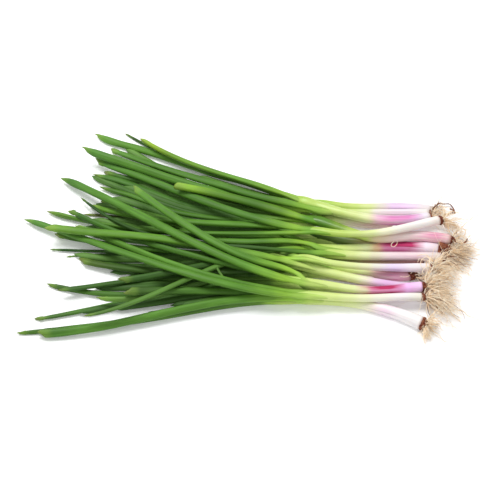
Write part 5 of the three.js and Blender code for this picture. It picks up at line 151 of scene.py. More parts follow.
    ("T", [(138.425, -51.7614, 3.38, 3.2), (123.077, -51.2119, 3.38, 3.2), (107.754, -50.1118, 3.38, 3.2), (92.4404, -48.4587, 3.38, 3.2), (77.095, -46.8021, 3.38, 3.2), (61.7378, -44.5879, 3.38, 3.2)]),
    ("T", [(153.192, -40.5338, 3.18, 3), (135.967, -40.5338, 3.18, 3), (118.741, -40.5338, 3.18, 3), (101.55, -39.9764, 3.18, 3), (84.4041, -38.3018, 3.18, 3), (67.2219, -36.6237, 3.18, 3)]),
    ("D", [(117.321, -20.8779, 5.98, 4.4), (104.269, -20.8779, 5.98, 4.4), (90.4394, -19.1636, 5.98, 4.4), (77.5588, -15.1494, 5.98, 4.4), (64.6354, -10.537, 5.98, 4.4), (51.6026, -7.06028, 5.98, 4.4)]),
    ("S", [(111.868, -62.8583, 4.98, 4), (105.12, -62.3168, 4.98, 4), (96.7672, -60.1469, 4.98, 4), (84.1383, -57.9709, 4.98, 4), (71.4741, -55.7889, 4.98, 4), (58.7551, -54.1484, 4.98, 4), (46.0094, -52.5044, 4.98, 4)]),
    ("S", [(129.9, -71.0801, 4.48, 4), (116.36, -71.6156, 4.48, 4), (101.177, -71.6156, 4.48, 4), (86.051, -70.5442, 4.48, 4), (70.9275, -68.9343, 4.48, 4), (55.7543, -67.8591, 4.48, 4), (43.9306, -67.321, 4.48, 4)]),
]
BITS = {
    "roots_05": [[(178.267, -21.704, 14.96), (179.741, -23.9772, 14.96), (179.857, -26.8096, 14.96)], [(187.409, -28.5042, 14.96), (189.826, -26.2439, 14.96), (190.956, -23.9772, 14.96)]],
    "roots_01": [[(181.136, 16.6974, 8.43), (184.493, 14.9063, 8.43), (184.872, 11.9298, 8.43), (182.181, 10.0306, 8.43)]],
    "roots_09": [[(138.382, -55.9504, 8.57), (139.842, -58.674, 8.57), (143.039, -60.846, 8.57)]],
}
HAIRS = {
    "roots_08": [[(158.446, -51.0845, 15.36), (155.538, -46.1352, 15.36), (152.294, -44.4784, 15.36), (149.006, -47.7885, 15.36), (148.071, -53.2742, 15.36), (149.353, -57.6351, 15.36)], [(158.665, -48.8887, 15.36), (154.955, -43.3719, 15.36), (150.801, -42.2639, 15.36), (145.636, -42.8181, 15.36)], [(158.965, -54.3667, 15.36), (155.048, -59.8064, 15.36), (151.469, -61.9716, 15.36)], [(158.034, -46.6867, 15.36), (153.466, -49.9874, 15.36), (151.567, -56.5472, 15.36)], [(157.057, -56.5472, 15.36), (153.89, -54.3667, 15.36), (150.248, -57.0913, 15.36), (148.944, -61.9716, 15.36), (151.159, -65.2081, 15.36)], [(157.402, -44.4784, 15.36), (154.949, -52.1801, 15.36), (155.155, -58.7215, 15.36), (152.103, -64.1307, 15.36)], [(158.228, -53.2742, 15.36), (153.678, -47.7885, 15.36), (146.984, -46.6867, 15.36), (145.832, -49.9874, 15.36)], [(154.942, -60.8897, 15.36), (149.377, -66.2839, 15.36), (145.082, -67.3582, 15.36)]],
    "roots_06": [[(132.715, -17.2678, 11.79), (129.883, -20.1261, 11.79), (126.928, -24.6781, 11.79), (125.326, -28.6398, 11.79), (127.393, -29.7681, 11.79), (130.295, -25.812, 11.79), (131.092, -21.2665, 11.79)]],
    "roots_09": [[(141.049, -55.0814, 8.17), (137.274, -59.4399, 8.17), (133.746, -61.068, 8.17), (130.492, -59.4399, 8.17)], [(141.996, -53.988, 8.17), (146.551, -50.6985, 8.17), (150.606, -52.893, 8.17)], [(143.305, -58.3525, 8.17), (147.648, -57.2637, 8.17), (150.838, -59.4399, 8.17), (154.439, -57.2637, 8.17)], [(143.957, -60.5257, 8.17), (147.991, -62.6928, 8.17), (152.377, -61.068, 8.17)]],
    "roots_01": [[(166.977, 16.6395, 7.83), (173.39, 18.4346, 7.83), (179.558, 17.8358, 7.83), (183.168, 14.2521, 7.83)], [(167.686, 14.8483, 7.83), (174.919, 16.042, 7.83), (180.883, 13.6564, 7.83), (183.283, 11.2777, 7.83)], [(168.334, 12.4662, 7.83), (175.531, 13.4182, 7.83), (181.445, 10.6841, 7.83)], [(167.097, 17.8358, 7.83), (174.431, 19.8735, 7.83), (181.377, 18.195, 7.83)], [(169.986, 11.2777, 7.83), (177.129, 11.7529, 7.83), (182.527, 12.4662, 7.83)]],
    "roots_05": [[(178.799, -21.9849, 13.96), (182.771, -17.4195, 13.96), (186.974, -18.5633, 13.96), (188.175, -23.1221, 13.96), (184.331, -26.5241, 13.96)], [(179.411, -24.2578, 13.96), (184.115, -20.846, 13.96), (189.172, -21.9849, 13.96), (191.226, -26.5241, 13.96)], [(178.186, -19.7054, 13.96), (182.29, -13.9781, 13.96), (187.769, -11.6757, 13.96), (193.721, -12.8277, 13.96)], [(180.148, -25.3918, 13.96), (185.063, -27.6549, 13.96), (189.769, -24.2578, 13.96), (193.904, -18.5633, 13.96)]],
}
STRAYS = {
    "roots_12": [[(148.096, -85.7396, 10.38), (155.115, -84.3019, 8.51462), (163.508, -86.0213, 6.64923), (171.733, -89.3138, 4.78385), (179.886, -93.1208, 2.91846), (186.423, -96.3983, 1.05308), (191.89, -99.7444, 0.68), (196.992, -98.8138, 0.68)], [(147.898, -87.8358, 10.38), (158.142, -88.689, 7.39538), (167.362, -91.6425, 4.41077), (174.458, -98.7491, 1.42615), (177.474, -102.323, 0.68)]],
    "roots_05": [[(180.013, -16.7274, 9.16), (187.775, -5.23058, 6.55077), (198.47, 7.61809, 3.94154), (206.978, 15.8799, 1.33231), (213.71, 18.8579, 0.68)], [(180.375, -21.3013, 9.16), (190.301, -21.9495, 5.89846), (197.649, -22.6116, 2.63692), (203.819, -24.3821, 0.68)], [(180.14, -15.5798, 9.16), (185.009, -6.39367, 6.55077), (190.288, -1.79223, 3.94154), (193.898, -4.19866, 1.33231), (190.732, -9.4512, 0.68)]],
    "roots_06": [[(170.728, -27.6797, 4.61), (178.555, -28.9298, 3.40077), (187.775, -25.6504, 2.19154), (197.323, -20.0728, 0.982308), (205.544, -10.6096, 0.68)]],
    "roots_13": [[(148.902, -109.007, 5.57), (154.339, -114.002, 4.06538), (158.934, -118.971, 2.56077), (162.908, -121.911, 1.05615), (166.041, -123.647, 0.68)]],
    "roots_01": [[(166.928, 21.2926, 4.66), (171.995, 26.2079, 3.89462), (178.574, 28.1144, 3.12923), (183.876, 26.3845, 2.36385), (186.28, 22.8462, 1.59846), (184.133, 18.7211, 0.833077), (178.604, 17.0596, 0.68), (173.425, 18.8579, 0.68)]],
}



# ---------------------------------------------------------------- small helpers
def lin(c):
    """0-255 display colour to linear RGBA"""
    out = []
    for v in c:
        v = v / 255.0
        out.append(v / 12.92 if v <= 0.04045 else ((v + 0.055) / 1.055) ** 2.4)
    return (out[0], out[1], out[2], 1.0)


def mixc(a, b, t):
    return tuple(x + (y - x) * t for x, y in zip(a, b))


def spline(rows, step):
    """Catmull-Rom through the rows, resampled about every step mm; returns points, radii, arc length"""
    q = np.array(rows, float)
    q = np.vstack([2 * q[0] - q[1], q, 2 * q[-1] - q[-2]])
    out = []
    for i in range(1, len(q) - 2):
        p0, p1, p2, p3 = q[i - 1], q[i], q[i + 1], q[i + 2]
        for t in np.linspace(0, 1, 13)[:-1]:
            out.append(0.5 * ((2 * p1) + (-p0 + p2) * t + (2 * p0 - 5 * p1 + 4 * p2 - p3) * t * t + (-p0 + 3 * p1 - 3 * p2 + p3) * t ** 3))
    out.append(q[-2])
    out = np.array(out)
    L = np.r_[0, np.cumsum(np.linalg.norm(np.diff(out[:, :3], axis=0), axis=1))]
    n = max(4, int(L[-1] / step))
    s = np.linspace(0, L[-1], n)
    res = np.array([np.interp(s, L, out[:, k]) for k in range(out.shape[1])]).T
    return res[:, :3], res[:, 3], s


def frames(p):
    T = np.zeros_like(p)
    T[1:-1] = p[2:] - p[:-2]
    T[0] = p[1] - p[0]
    T[-1] = p[-1] - p[-2]
    T /= np.linalg.norm(T, axis=1)[:, None]
    up = np.array([0, 0, 1.0])
    U = up - T * T[:, 2:3]
    U /= np.linalg.norm(U, axis=1)[:, None]
    V = np.cross(T, U)
    return T, U, V


def loft(rings):
    """rings: n x m x 3 (mm). Quads between the rings and a fan at each end; returns verts, faces"""
    n, m = rings.shape[:2]
    v = rings.reshape(-1, 3)
    f = []
    for i in range(n - 1):
        a = i * m
        for k in range(m):
            k2 = (k + 1) % m
            f.append((a + k, a + k2, a + m + k2, a + m + k))
    v = np.vstack([v, rings[0].mean(0), rings[-1].mean(0)])
    c0, c1 = n * m, n * m + 1
    for k in range(m):
        k2 = (k + 1) % m
        f.append((c0, k2, k))
        f.append((c1, (n - 1) * m + k, (n - 1) * m + k2))
    return v, f


def make(name, verts, faces, mats, uv=None, mat_index=None, smooth=True):
    me = bpy.data.meshes.new(name)
    me.from_pydata([tuple(x) for x in np.asarray(verts) * 0.001], [], faces)
    if uv is not None:
        lay = me.uv_layers.new(name="OFBake")
        flat = np.array([c for f in uv for c in f], dtype=np.float32).reshape(-1)
        lay.data.foreach_set("uv", flat)
    if smooth:
        me.polygons.foreach_set("use_smooth", [True] * len(me.polygons))
    for m in mats:
        me.materials.append(m)
    if mat_index is not None:
        me.polygons.foreach_set("material_index", mat_index)
    me.update()
    ob = bpy.data.objects.new(name, me)
    bpy.context.scene.collection.objects.link(ob)
    return ob


def tube_uv(n, m, v):
    """Loop uvs for loft(): u round the ring, v along"""
    uv = []
    for i in range(n - 1):
        for k in range(m):
            a, b = k / m, (k + 1) / m
            uv.append(((a, v[i]), (b, v[i]), (b, v[i + 1]), (a, v[i + 1])))
    for k in range(m):
        a, b = k / m, (k + 1) / m
        uv.append((((a + b) / 2, v[0] - 0.004), (b, v[0]), (a, v[0])))
        uv.append((((a + b) / 2, v[-1] + 0.004), (a, v[-1]), (b, v[-1])))
    return uv


# ---------------------------------------------------------------- materials
def nodes_of(mat):
    mat.use_nodes = True
    nt = mat.node_tree
    return nt, nt.nodes, nt.links, nt.nodes["Principled BSDF"]


def math_node(nt, op, a, b=None, clamp=False):
    n = nt.nodes.new("ShaderNodeMath")
    n.operation = op
    n.use_clamp = clamp
    for i, x in enumerate((a, b)):
        if x is None:
            continue
        if isinstance(x, (int, float)):
            n.inputs[i].default_value = x
        else:
            nt.links.new(x, n.inputs[i])
    return n.outputs[0]


def uvs(nt):
    uvn = nt.nodes.new("ShaderNodeUVMap")
    uvn.uv_map = "OFBake"
    sep = nt.nodes.new("ShaderNodeSeparateXYZ")
    nt.links.new(uvn.outputs[0], sep.inputs[0])
    return sep.outputs[0], sep.outputs[1]


def noise(nt, u, v, su, sv, seed, detail=2.0, rough=0.5):
    """noise with its own scale round (u) and along (v) the piece; su, sv are repeats over the whole piece.
    The round coordinate is wrapped on a circle, so that the pattern has no seam."""
    ang = math_node(nt, "MULTIPLY", u, 2 * math.pi)
    r = su / (2 * math.pi)
    x = math_node(nt, "MULTIPLY", math_node(nt, "COSINE", ang), r)
    y = math_node(nt, "MULTIPLY", math_node(nt, "SINE", ang), r)
    z = math_node(nt, "MULTIPLY", v, sv)
    comb = nt.nodes.new("ShaderNodeCombineXYZ")
    nt.links.new(x, comb.inputs[0])
    nt.links.new(math_node(nt, "ADD", y, seed * 7.31), comb.inputs[1])
    nt.links.new(math_node(nt, "ADD", z, seed * 3.17), comb.inputs[2])
    nz = nt.nodes.new("ShaderNodeTexNoise")
    nz.inputs["Scale"].default_value = 1.0
    nz.inputs["Detail"].default_value = detail
    nz.inputs["Roughness"].default_value = rough
    nt.links.new(comb.outputs[0], nz.inputs["Vector"])
    return nz.outputs["Fac"]


def ramp(nt, fac, stops, interp="EASE"):
    r = nt.nodes.new("ShaderNodeValToRGB")
    r.color_ramp.interpolation = interp
    els = r.color_ramp.elements
    while len(els) > 1:
        els.remove(els[-1])
    els[0].position = stops[0][0]
    els[0].color = lin(stops[0][1])
    for pos, col in stops[1:]:
        e = els.new(min(max(pos, 0.0), 1.0))
        e.color = lin(col)
    nt.links.new(fac, r.inputs[0])
    return r.outputs[0]


def remap(nt, x, a, b, c, d):
    m = nt.nodes.new("ShaderNodeMapRange")
    nt.links.new(x, m.inputs[0])
    for i, val in enumerate((a, b, c, d)):
        m.inputs[i + 1].default_value = val
    return m.outputs[0]


def blend(nt, fac, a, b, mode="MIX"):
    m = nt.nodes.new("ShaderNodeMix")
    m.data_type = "RGBA"
    m.blend_type = mode
    if isinstance(fac, (int, float)):
        m.inputs[0].default_value = fac
    else:
        nt.links.new(fac, m.inputs[0])
    for i, x in ((6, a), (7, b)):
        if isinstance(x, tuple):
            m.inputs[i].default_value = x
        else:
            nt.links.new(x, m.inputs[i])
    return m.outputs[2]


def scale_colour(nt, col, fac):
    """col times a grey factor socket"""
    c = nt.nodes.new("ShaderNodeCombineXYZ")
    for i in range(3):
        nt.links.new(fac, c.inputs[i])
    return blend(nt, 1.0, col, c.outputs[0], "MULTIPLY")


def leaf_material(name, length, mid, neck, tip, end, seed, dull=0.0, dry=2.2, lime=0.3):
    mat = bpy.data.materials.new(name)
    nt, N, L, bsdf = nodes_of(mat)
    u, v = uvs(nt)
    l = length
    tip = tuple(c * 1.08 for c in tip)
    # v runs 0 at the neck to 1 at the tip
    stops = [(0.0, mixc((204, 219, 138), (130, 172, 58), lime)), (20 / l, mixc((190, 210, 116), (116, 161, 50), lime)), (31 / l, mixc((158, 193, 82), (104, 152, 46), lime)), (42 / l, neck), (58 / l, mixc(neck, mid, 0.55)), (80 / l, mid), (1 - 40 / l, mixc(mid, tip, 0.3)),
             (1 - 13 / l, tip), (1 - 6.0 / l, mixc(tip, (128, 158, 66), 0.5 if dry else 0.0)), (1 - dry / l - 0.0005, mixc(tip, (136, 150, 70), 0.6 if dry else 0.0)), (1.0, mixc(end, (156, 134, 84), 0.7 if dry else 0.0))]
    base = ramp(nt, v, stops)
    ribs = noise(nt, u, v, 34, l / 55, seed, 2.5, 0.55)
    broad = noise(nt, u, v, 4.5, l / 26, seed + 11, 2.0, 0.5)
    flecks = noise(nt, u, v, 26, l / 5, seed + 23, 1.0, 0.5)
    f = math_node(nt, "MULTIPLY", remap(nt, ribs, 0.3, 0.7, 0.80, 1.20), remap(nt, broad, 0.3, 0.7, 0.84, 1.17))
    f = math_node(nt, "MULTIPLY", f, remap(nt, flecks, 0.35, 0.7, 0.96, 1.05))
    col = scale_colour(nt, base, f)
    # the wax bloom shifts patches of the surface towards blue-grey
    bloom = remap(nt, broad, 0.52, 0.75, 0.0, 0.10)
    col = blend(nt, bloom, col, lin((120, 156, 92)))
    L.new(col, bsdf.inputs["Base Color"])
    L.new(remap(nt, broad, 0.3, 0.7, 0.46 + dull, 0.60 + dull), bsdf.inputs["Roughness"])
    bsdf.inputs["Specular IOR Level"].default_value = 0.24
    bsdf.inputs["Subsurface Weight"].default_value = 0.0
    b = N.new("ShaderNodeBump")
    b.inputs["Strength"].default_value = 0.35
    b.inputs["Distance"].default_value = 0.0004
    L.new(ribs, b.inputs["Height"])
    L.new(b.outputs[0], bsdf.inputs["Normal"])
    return mat


def shank_material(name, length, stops, skin, skin_from, skin_to, amount, seed, streaks=9.0):
    """stops: (mm from the foot, colour). skin: colour of the thin coloured skin, laid in lengthwise streaks between skin_from and skin_to mm"""
    mat = bpy.data.materials.new(name)
    nt, N, L, bsdf = nodes_of(mat)
    u, v = uvs(nt)
    l = length
    base = ramp(nt, v, [(max(0.0, min(1.0, s / l)), c) for s, c in stops])
    fine = noise(nt, u, v, 52, l / 60, seed, 2.5, 0.6)
    broad = noise(nt, u, v, streaks, l / 45, seed + 5, 2.0, 0.5)
    veins = noise(nt, u, v, 22, l / 120, seed + 9, 1.0, 0.5)
    mm = math_node(nt, "MULTIPLY", v, l)
    soft = 7.0
    a = remap(nt, mm, skin_from - soft, skin_from + soft, 0.0, 1.0)
    b_ = remap(nt, mm, skin_to - soft * 1.6, skin_to + soft * 1.6, 1.0, 0.0)
    mask = math_node(nt, "MULTIPLY", a, b_)
    st = remap(nt, broad, 0.36, 0.56, 0.30, 1.0)
    mask = math_node(nt, "MULTIPLY", mask, st)
    mask = math_node(nt, "MULTIPLY", mask, amount, True)
    col = blend(nt, mask, base, lin(skin))
    dark = tuple(c * 0.62 for c in skin)
    vm = math_node(nt, "MULTIPLY", remap(nt, veins, 0.56, 0.66, 0.0, 0.75), mask)
    col = blend(nt, vm, col, lin(dark))
    col = scale_colour(nt, col, remap(nt, fine, 0.3, 0.7, 0.90, 1.07))
    L.new(col, bsdf.inputs["Base Color"])
    L.new(remap(nt, broad, 0.3, 0.7, 0.30, 0.48), bsdf.inputs["Roughness"])
    bsdf.inputs["Specular IOR Level"].default_value = 0.45
    bsdf.inputs["Subsurface Weight"].default_value = 0.12
    bsdf.inputs["Subsurface Radius"].default_value = (0.003, 0.002, 0.0015)
    bsdf.inputs["Subsurface Scale"].default_value = 1.0
    b = N.new("ShaderNodeBump")
    b.inputs["Strength"].default_value = 0.3
    b.inputs["Distance"].default_value = 0.0004
    L.new(fine, b.inputs["Height"])
    L.new(b.outputs[0], bsdf.inputs["Normal"])
    return mat


def object_noise(nt, scale, detail=2.0):
    tc = nt.nodes.new("ShaderNodeTexCoord")
    nz = nt.nodes.new("ShaderNodeTexNoise")
    nz.inputs["Scale"].default_value = scale
    nz.inputs["Detail"].default_value = detail
    nt.links.new(tc.outputs["Object"], nz.inputs["Vector"])
    return nz.outputs["Fac"]


def root_material(name, light, shade):
    mat = bpy.data.materials.new(name)
    nt, N, L, bsdf = nodes_of(mat)
    big = object_noise(nt, 260.0)
    small = object_noise(nt, 1500.0, 3.0)
    col = blend(nt, remap(nt, big, 0.38, 0.62, 0.0, 1.0), lin(light), lin(shade))
    col = scale_colour(nt, col, remap(nt, small, 0.3, 0.7, 0.86, 1.12))
    L.new(col, bsdf.inputs["Base Color"])
    L.new(remap(nt, small, 0.3, 0.7, 0.6, 0.85), bsdf.inputs["Roughness"])
    bsdf.inputs["Specular IOR Level"].default_value = 0.25
    return mat


def plate_material(name, a, b):
    mat = bpy.data.materials.new(name)
    nt, N, L, bsdf = nodes_of(mat)
    big = object_noise(nt, 420.0, 4.0)
    small = object_noise(nt, 1600.0, 4.0)
    col = blend(nt, remap(nt, big, 0.4, 0.6, 0.0, 1.0), lin(a), lin(b))
    col = scale_colour(nt, col, remap(nt, small, 0.3, 0.7, 0.6, 1.35))
    L.new(col, bsdf.inputs["Base Color"])
    L.new(remap(nt, small, 0.3, 0.7, 0.65, 0.95), bsdf.inputs["Roughness"])
    bsdf.inputs["Specular IOR Level"].default_value = 0.2
    bm = N.new("ShaderNodeBump")
    bm.inputs["Strength"].default_value = 0.8
    bm.inputs["Distance"].default_value = 0.0008
    L.new(small, bm.inputs["Height"])
    L.new(bm.outputs[0], bsdf.inputs["Normal"])
    return mat


# ---------------------------------------------------------------- leaves
# per leaf: colour of the blade, of the tip and of its very end, how the end is formed, how flat it is
# how green the folded neck of each plant already is, 0 pale to 1 leaf green; plant 05's value above 1 darkens its
# necks past leaf green as painted shade, where they lie in shadow in the heap
LIME = {"01": 0.75, "02": 0.45, "03": 0.35, "04": 0.9, "05": 1.35, "06": 0.6, "07": 0.6, "08": 0.3, "09": 0.8, "10": 0.15, "11": 0.2, "12": 0.3, "13": 0.2}
LEAF_MID = (96, 146, 62)
NECK = (158, 196, 66)
# the darkest greens below, (51, 86, 24) and the like, are painted shade of leaves lying low or under others, not the
# blades' own green
LOOK = {
    # name: (mid, tip, end, form, flatness)
    "leaf_01a": ((80, 127, 37), (86, 132, 46), (80, 116, 50), 'point', 0.8),
    "leaf_01b": ((80, 127, 37), (46, 76, 24), (34, 54, 20), 'point', 0.88),
    "leaf_03a": ((89, 135, 41), (123, 152, 40), (132, 157, 50), 'blunt', 0.8),
    "leaf_02b": ((80, 127, 37), (75, 120, 46), (68, 106, 44), 'point', 0.78),
    "leaf_02a": ((71, 116, 33), (74, 116, 42), (77, 107, 44), 'blunt', 0.8),
    "leaf_04b": ((71, 116, 33), (71, 116, 41), (68, 102, 41), 'blunt', 0.8),
    "leaf_05b": ((65, 107, 36), (62, 102, 36), (57, 91, 33), 'point', 0.8),
    "leaf_03b": ((65, 107, 36), (59, 97, 32), (54, 82, 31), 'blunt', 0.85),
    "leaf_07b": ((71, 116, 33), (68, 107, 33), (54, 79, 28), 'point', 0.8),
    "leaf_11a": ((80, 127, 37), (65, 106, 38), (102, 99, 41), 'point', 0.85),
    "leaf_06a": ((80, 127, 37), (92, 130, 42), (100, 124, 47), 'blunt', 0.8),
    "leaf_07a": ((51, 86, 24), (34, 64, 24), (31, 54, 24), 'point', 0.95),
    "leaf_04c": ((80, 127, 37), (80, 122, 34), (85, 107, 35), 'blunt', 0.8),
    "leaf_11c": ((71, 116, 33), (54, 92, 33), (51, 76, 30), 'blunt', 0.85),
    "leaf_08b": ((71, 86, 29), (77, 86, 35), (71, 73, 33), 'point', 0.9),
    "leaf_04a": ((80, 127, 37), (83, 119, 42), (108, 116, 44), 'point', 0.8),
    "leaf_10a": ((83, 129, 36), (91, 132, 41), (103, 134, 45), 'blunt', 0.78),
    "leaf_12b": ((80, 127, 37), (86, 129, 46), (92, 124, 50), 'point', 0.85),
    "leaf_12a": ((80, 127, 37), (71, 114, 43), (65, 99, 42), 'point', 0.8),
    "leaf_08a": ((71, 116, 33), (68, 107, 35), (74, 96, 36), 'blunt', 0.85),
    "leaf_08c": ((51, 86, 24), (34, 66, 24), (31, 54, 24), 'point', 0.95),
    "leaf_09c": ((51, 86, 24), (59, 94, 34), (69, 91, 44), 'point', 0.95),
    "leaf_09a": ((51, 86, 24), (66, 91, 31), (74, 86, 33), 'blunt', 0.85),
    "leaf_10c": ((71, 116, 33), (55, 86, 31), (86, 82, 38), 'point', 0.85),
    "leaf_09b": ((51, 86, 24), (55, 91, 34), (62, 86, 36), 'point', 0.8),
    "leaf_10b": ((51, 86, 24), (51, 86, 29), (62, 86, 36), 'blunt', 0.8),
    "leaf_12c": ((71, 116, 33), (49, 79, 22), (68, 92, 32), 'blunt', 0.85),
    "leaf_07c": ((80, 120, 46), (95, 132, 55), (100, 129, 57), 'point', 0.85),
    "leaf_13b": ((71, 116, 33), (62, 97, 37), (49, 76, 31), 'blunt', 0.85),
    "leaf_06b": ((80, 122, 42), (71, 104, 40), (69, 92, 40), 'point', 0.9),
    "leaf_13c": ((71, 116, 33), (62, 99, 29), (92, 86, 35), 'point', 0.9),
    "leaf_13a": ((80, 127, 37), (65, 107, 33), (74, 102, 36), 'blunt', 0.85),
    "leaf_05a": ((69, 111, 29), (114, 153, 44), (92, 124, 38), 'cut', 0.82),
    "leaf_11b": ((80, 127, 37), (80, 125, 42), (85, 119, 44), 'blunt', 0.85),

}


def eased(p, s, reach=13.0):
    """the same line with its rises and dips drawn out, so that a springy blade bends gently over the ones below"""
    w = np.exp(-0.5 * ((s[:, None] - s[None, :]) / reach) ** 2)
    near = np.minimum(np.minimum(s, s[-1] - s) / (1.5 * reach), 1.0)
    smooth = (w @ p[:, 2]) / w.sum(1)
    dz = (smooth - p[:, 2]) * (0.25 + 0.75 * near)
    q = p.copy()
    q[:, 2] += dz
    q[:, 1] -= 0.839 * dz
    return q


def leaf(name, rows, seed):
    rng = np.random.RandomState(seed)
    mid, tip, end, form, flat = LOOK.get(name, (LEAF_MID, mixc(LEAF_MID, (70, 120, 60), 0.4), (120, 120, 60), "point", 0.85))
    shank = np.array(SHANKS["shank_" + name[5:7]])
    rows = np.array(rows, float)
    rows = rows[::-1]  # neck first
    # the neck runs on into the mouth of its shank
    top, below = shank[-1], shank[-2]
    d = (top[:3] - below[:3]) / np.linalg.norm(top[:3] - below[:3])
    inner = np.r_[top[:3] - d * 20.0 + (rows[0][:3] - top[:3] - d * 1.5) * 0.25 - np.array([0, 0, 1.2]), top[3] * 0.3]
    rows = np.vstack([inner, rows])
    full = np.median(rows[2:, 3])
    p, r, s = spline(rows, 1.6)
    total = s[-1]
    p = eased(p, s)
    # near the mouth a blade is as wide as the folded sheath that it grows from
    k = np.clip((s - 14.0) / 60.0, 0, 1)
    wide = 1.15 + 0.2 * np.exp(-((s - 30) / 24.0) ** 2)
    near = top[3] * 0.78 * (1 - k) ** 0.8
    r = np.maximum(r, np.minimum(near, full * 1.08 if full > 2.2 else full * 1.2))
    r = r * np.clip(0.15 + 0.85 * s / 27.0, 0.15, 1.0)
    rfull = np.interp(max(total - 14.0, 0), s, r)
    e = total - s
    if form == "point":
        q = np.clip(e / (rfull * 4.2), 0, 1)
        r = np.where(e < rfull * 4.2, np.minimum(np.maximum(r, rfull * q), rfull * np.power(q, 0.5)), r)
    elif form == "blunt":
        q = np.clip(e / (rfull * 1.5), 0, 1)
        r = np.where(e < rfull * 3, rfull * (0.5 + 0.5 * np.sqrt(1 - (1 - q) ** 2)), r)
    elif form == "cut":
        r = np.where(e < 12, rfull, r)
    r = np.maximum(r, 0.12)
    wob = 1 + 0.035 * np.sin(s / 17.0 + rng.rand() * 6) + 0.02 * np.sin(s / 6.3 + rng.rand() * 6)
    r = r * wob
    m = 22
    T, U, V = frames(p)
    a = -np.pi / 2 * 0 + np.arange(m) / m * 2 * np.pi + np.pi  # starts under the leaf
    twist = rng.uniform(-0.5, 0.5) + rng.uniform(-0.9, 0.9) * (s / total)
    f = flat + (1 - flat) * np.clip(1 - s / 40.0, 0, 1)
    rings = np.zeros((len(p), m, 3))
    ph = rng.rand() * 6
    for i in range(len(p)):
        x = np.sin(a) * wide[i]   # across
        y = np.cos(a) * f[i]   # up
        rad = 1 + 0.018 * np.cos(7 * a + ph) + 0.012 * np.cos(11 * a + 2 * ph)
        # a shallow crease along one side
        rad = rad - 0.06 * np.exp(-((a - np.pi * 2.0 + 0.3) / 0.35) ** 2)
        c, sn = math.cos(twist[i]), math.sin(twist[i])
        xx, yy = (x * c - y * sn) * rad, (x * sn + y * c) * rad
        rings[i] = p[i] + r[i] * (xx[:, None] * V[i] + yy[:, None] * U[i])
    if form in ("point", "blunt"):
        # the end is cut slightly aslant and pinched
        n_end = e < rfull * 2.0
        sl = rng.uniform(0.8, 1.3) * (1 if rng.rand() < 0.6 else -1) * (1.0 if form == "blunt" else 0.7)
        for i in np.nonzero(n_end)[0]:
            w = 1 - e[i] / (rfull * 2.0)
            rings[i] += T[i] * (sl * rfull * w * np.sin(a))[:, None]
    if form == "cut":
        # an open hollow end: the wall turns in and runs back down inside the leaf
        outer = rings
        ctr = p[-1]
        sl = 0.9
        for i in range(len(p)):
            if e[i] < 10:
                w = 1 - e[i] / 10.0
                rings[i] += T[i] * (sl * rfull * w * np.cos(a + 0.9))[:, None]
        back = []
        for t, sc in ((0.0, 0.90), (0.6, 0.80), (3.0, 0.76), (7.0, 0.7)):
            j = max(0, len(p) - 1 - int(round(t / 1.6)))
            base = rings[-1] - T[-1] * t
            cc = base.mean(0)
            back.append(cc + (base - cc) * sc)
        rings = np.vstack([rings, np.array(back)])
        s = np.r_[s, [total + 0.4, total + 0.8, total + 1.2, total + 1.6]]
    rings[:, :, 2] = np.maximum(rings[:, :, 2], 0.05)
    verts, faces = loft(rings)
    v = s / s[-1] * 0.99 + 0.005
    uv = tube_uv(len(rings), m, v)
    neck = mixc((142, 182, 56), (108, 154, 50), rng.rand() * 0.7)
    # painted shade: a leaf of the shaded set gets a neck mixed from its dark green
    if name in PAINTED_SHADE_LEAVES:
        neck = mixc(mid, (112, 160, 52), 0.6)
    mat = leaf_material("leaf_green_" + name[5:], total, mid, neck, tip, end, seed, 0.05 if name in PAINTED_SHADE_LEAVES else 0.0, 2.2 if form == "point" else 0.9, LIME.get(name[5:7], 0.3))
    ob = make(name + "_blade", verts, faces, [mat], uv)
    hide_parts(name)
    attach(ob, "root")
    return ob


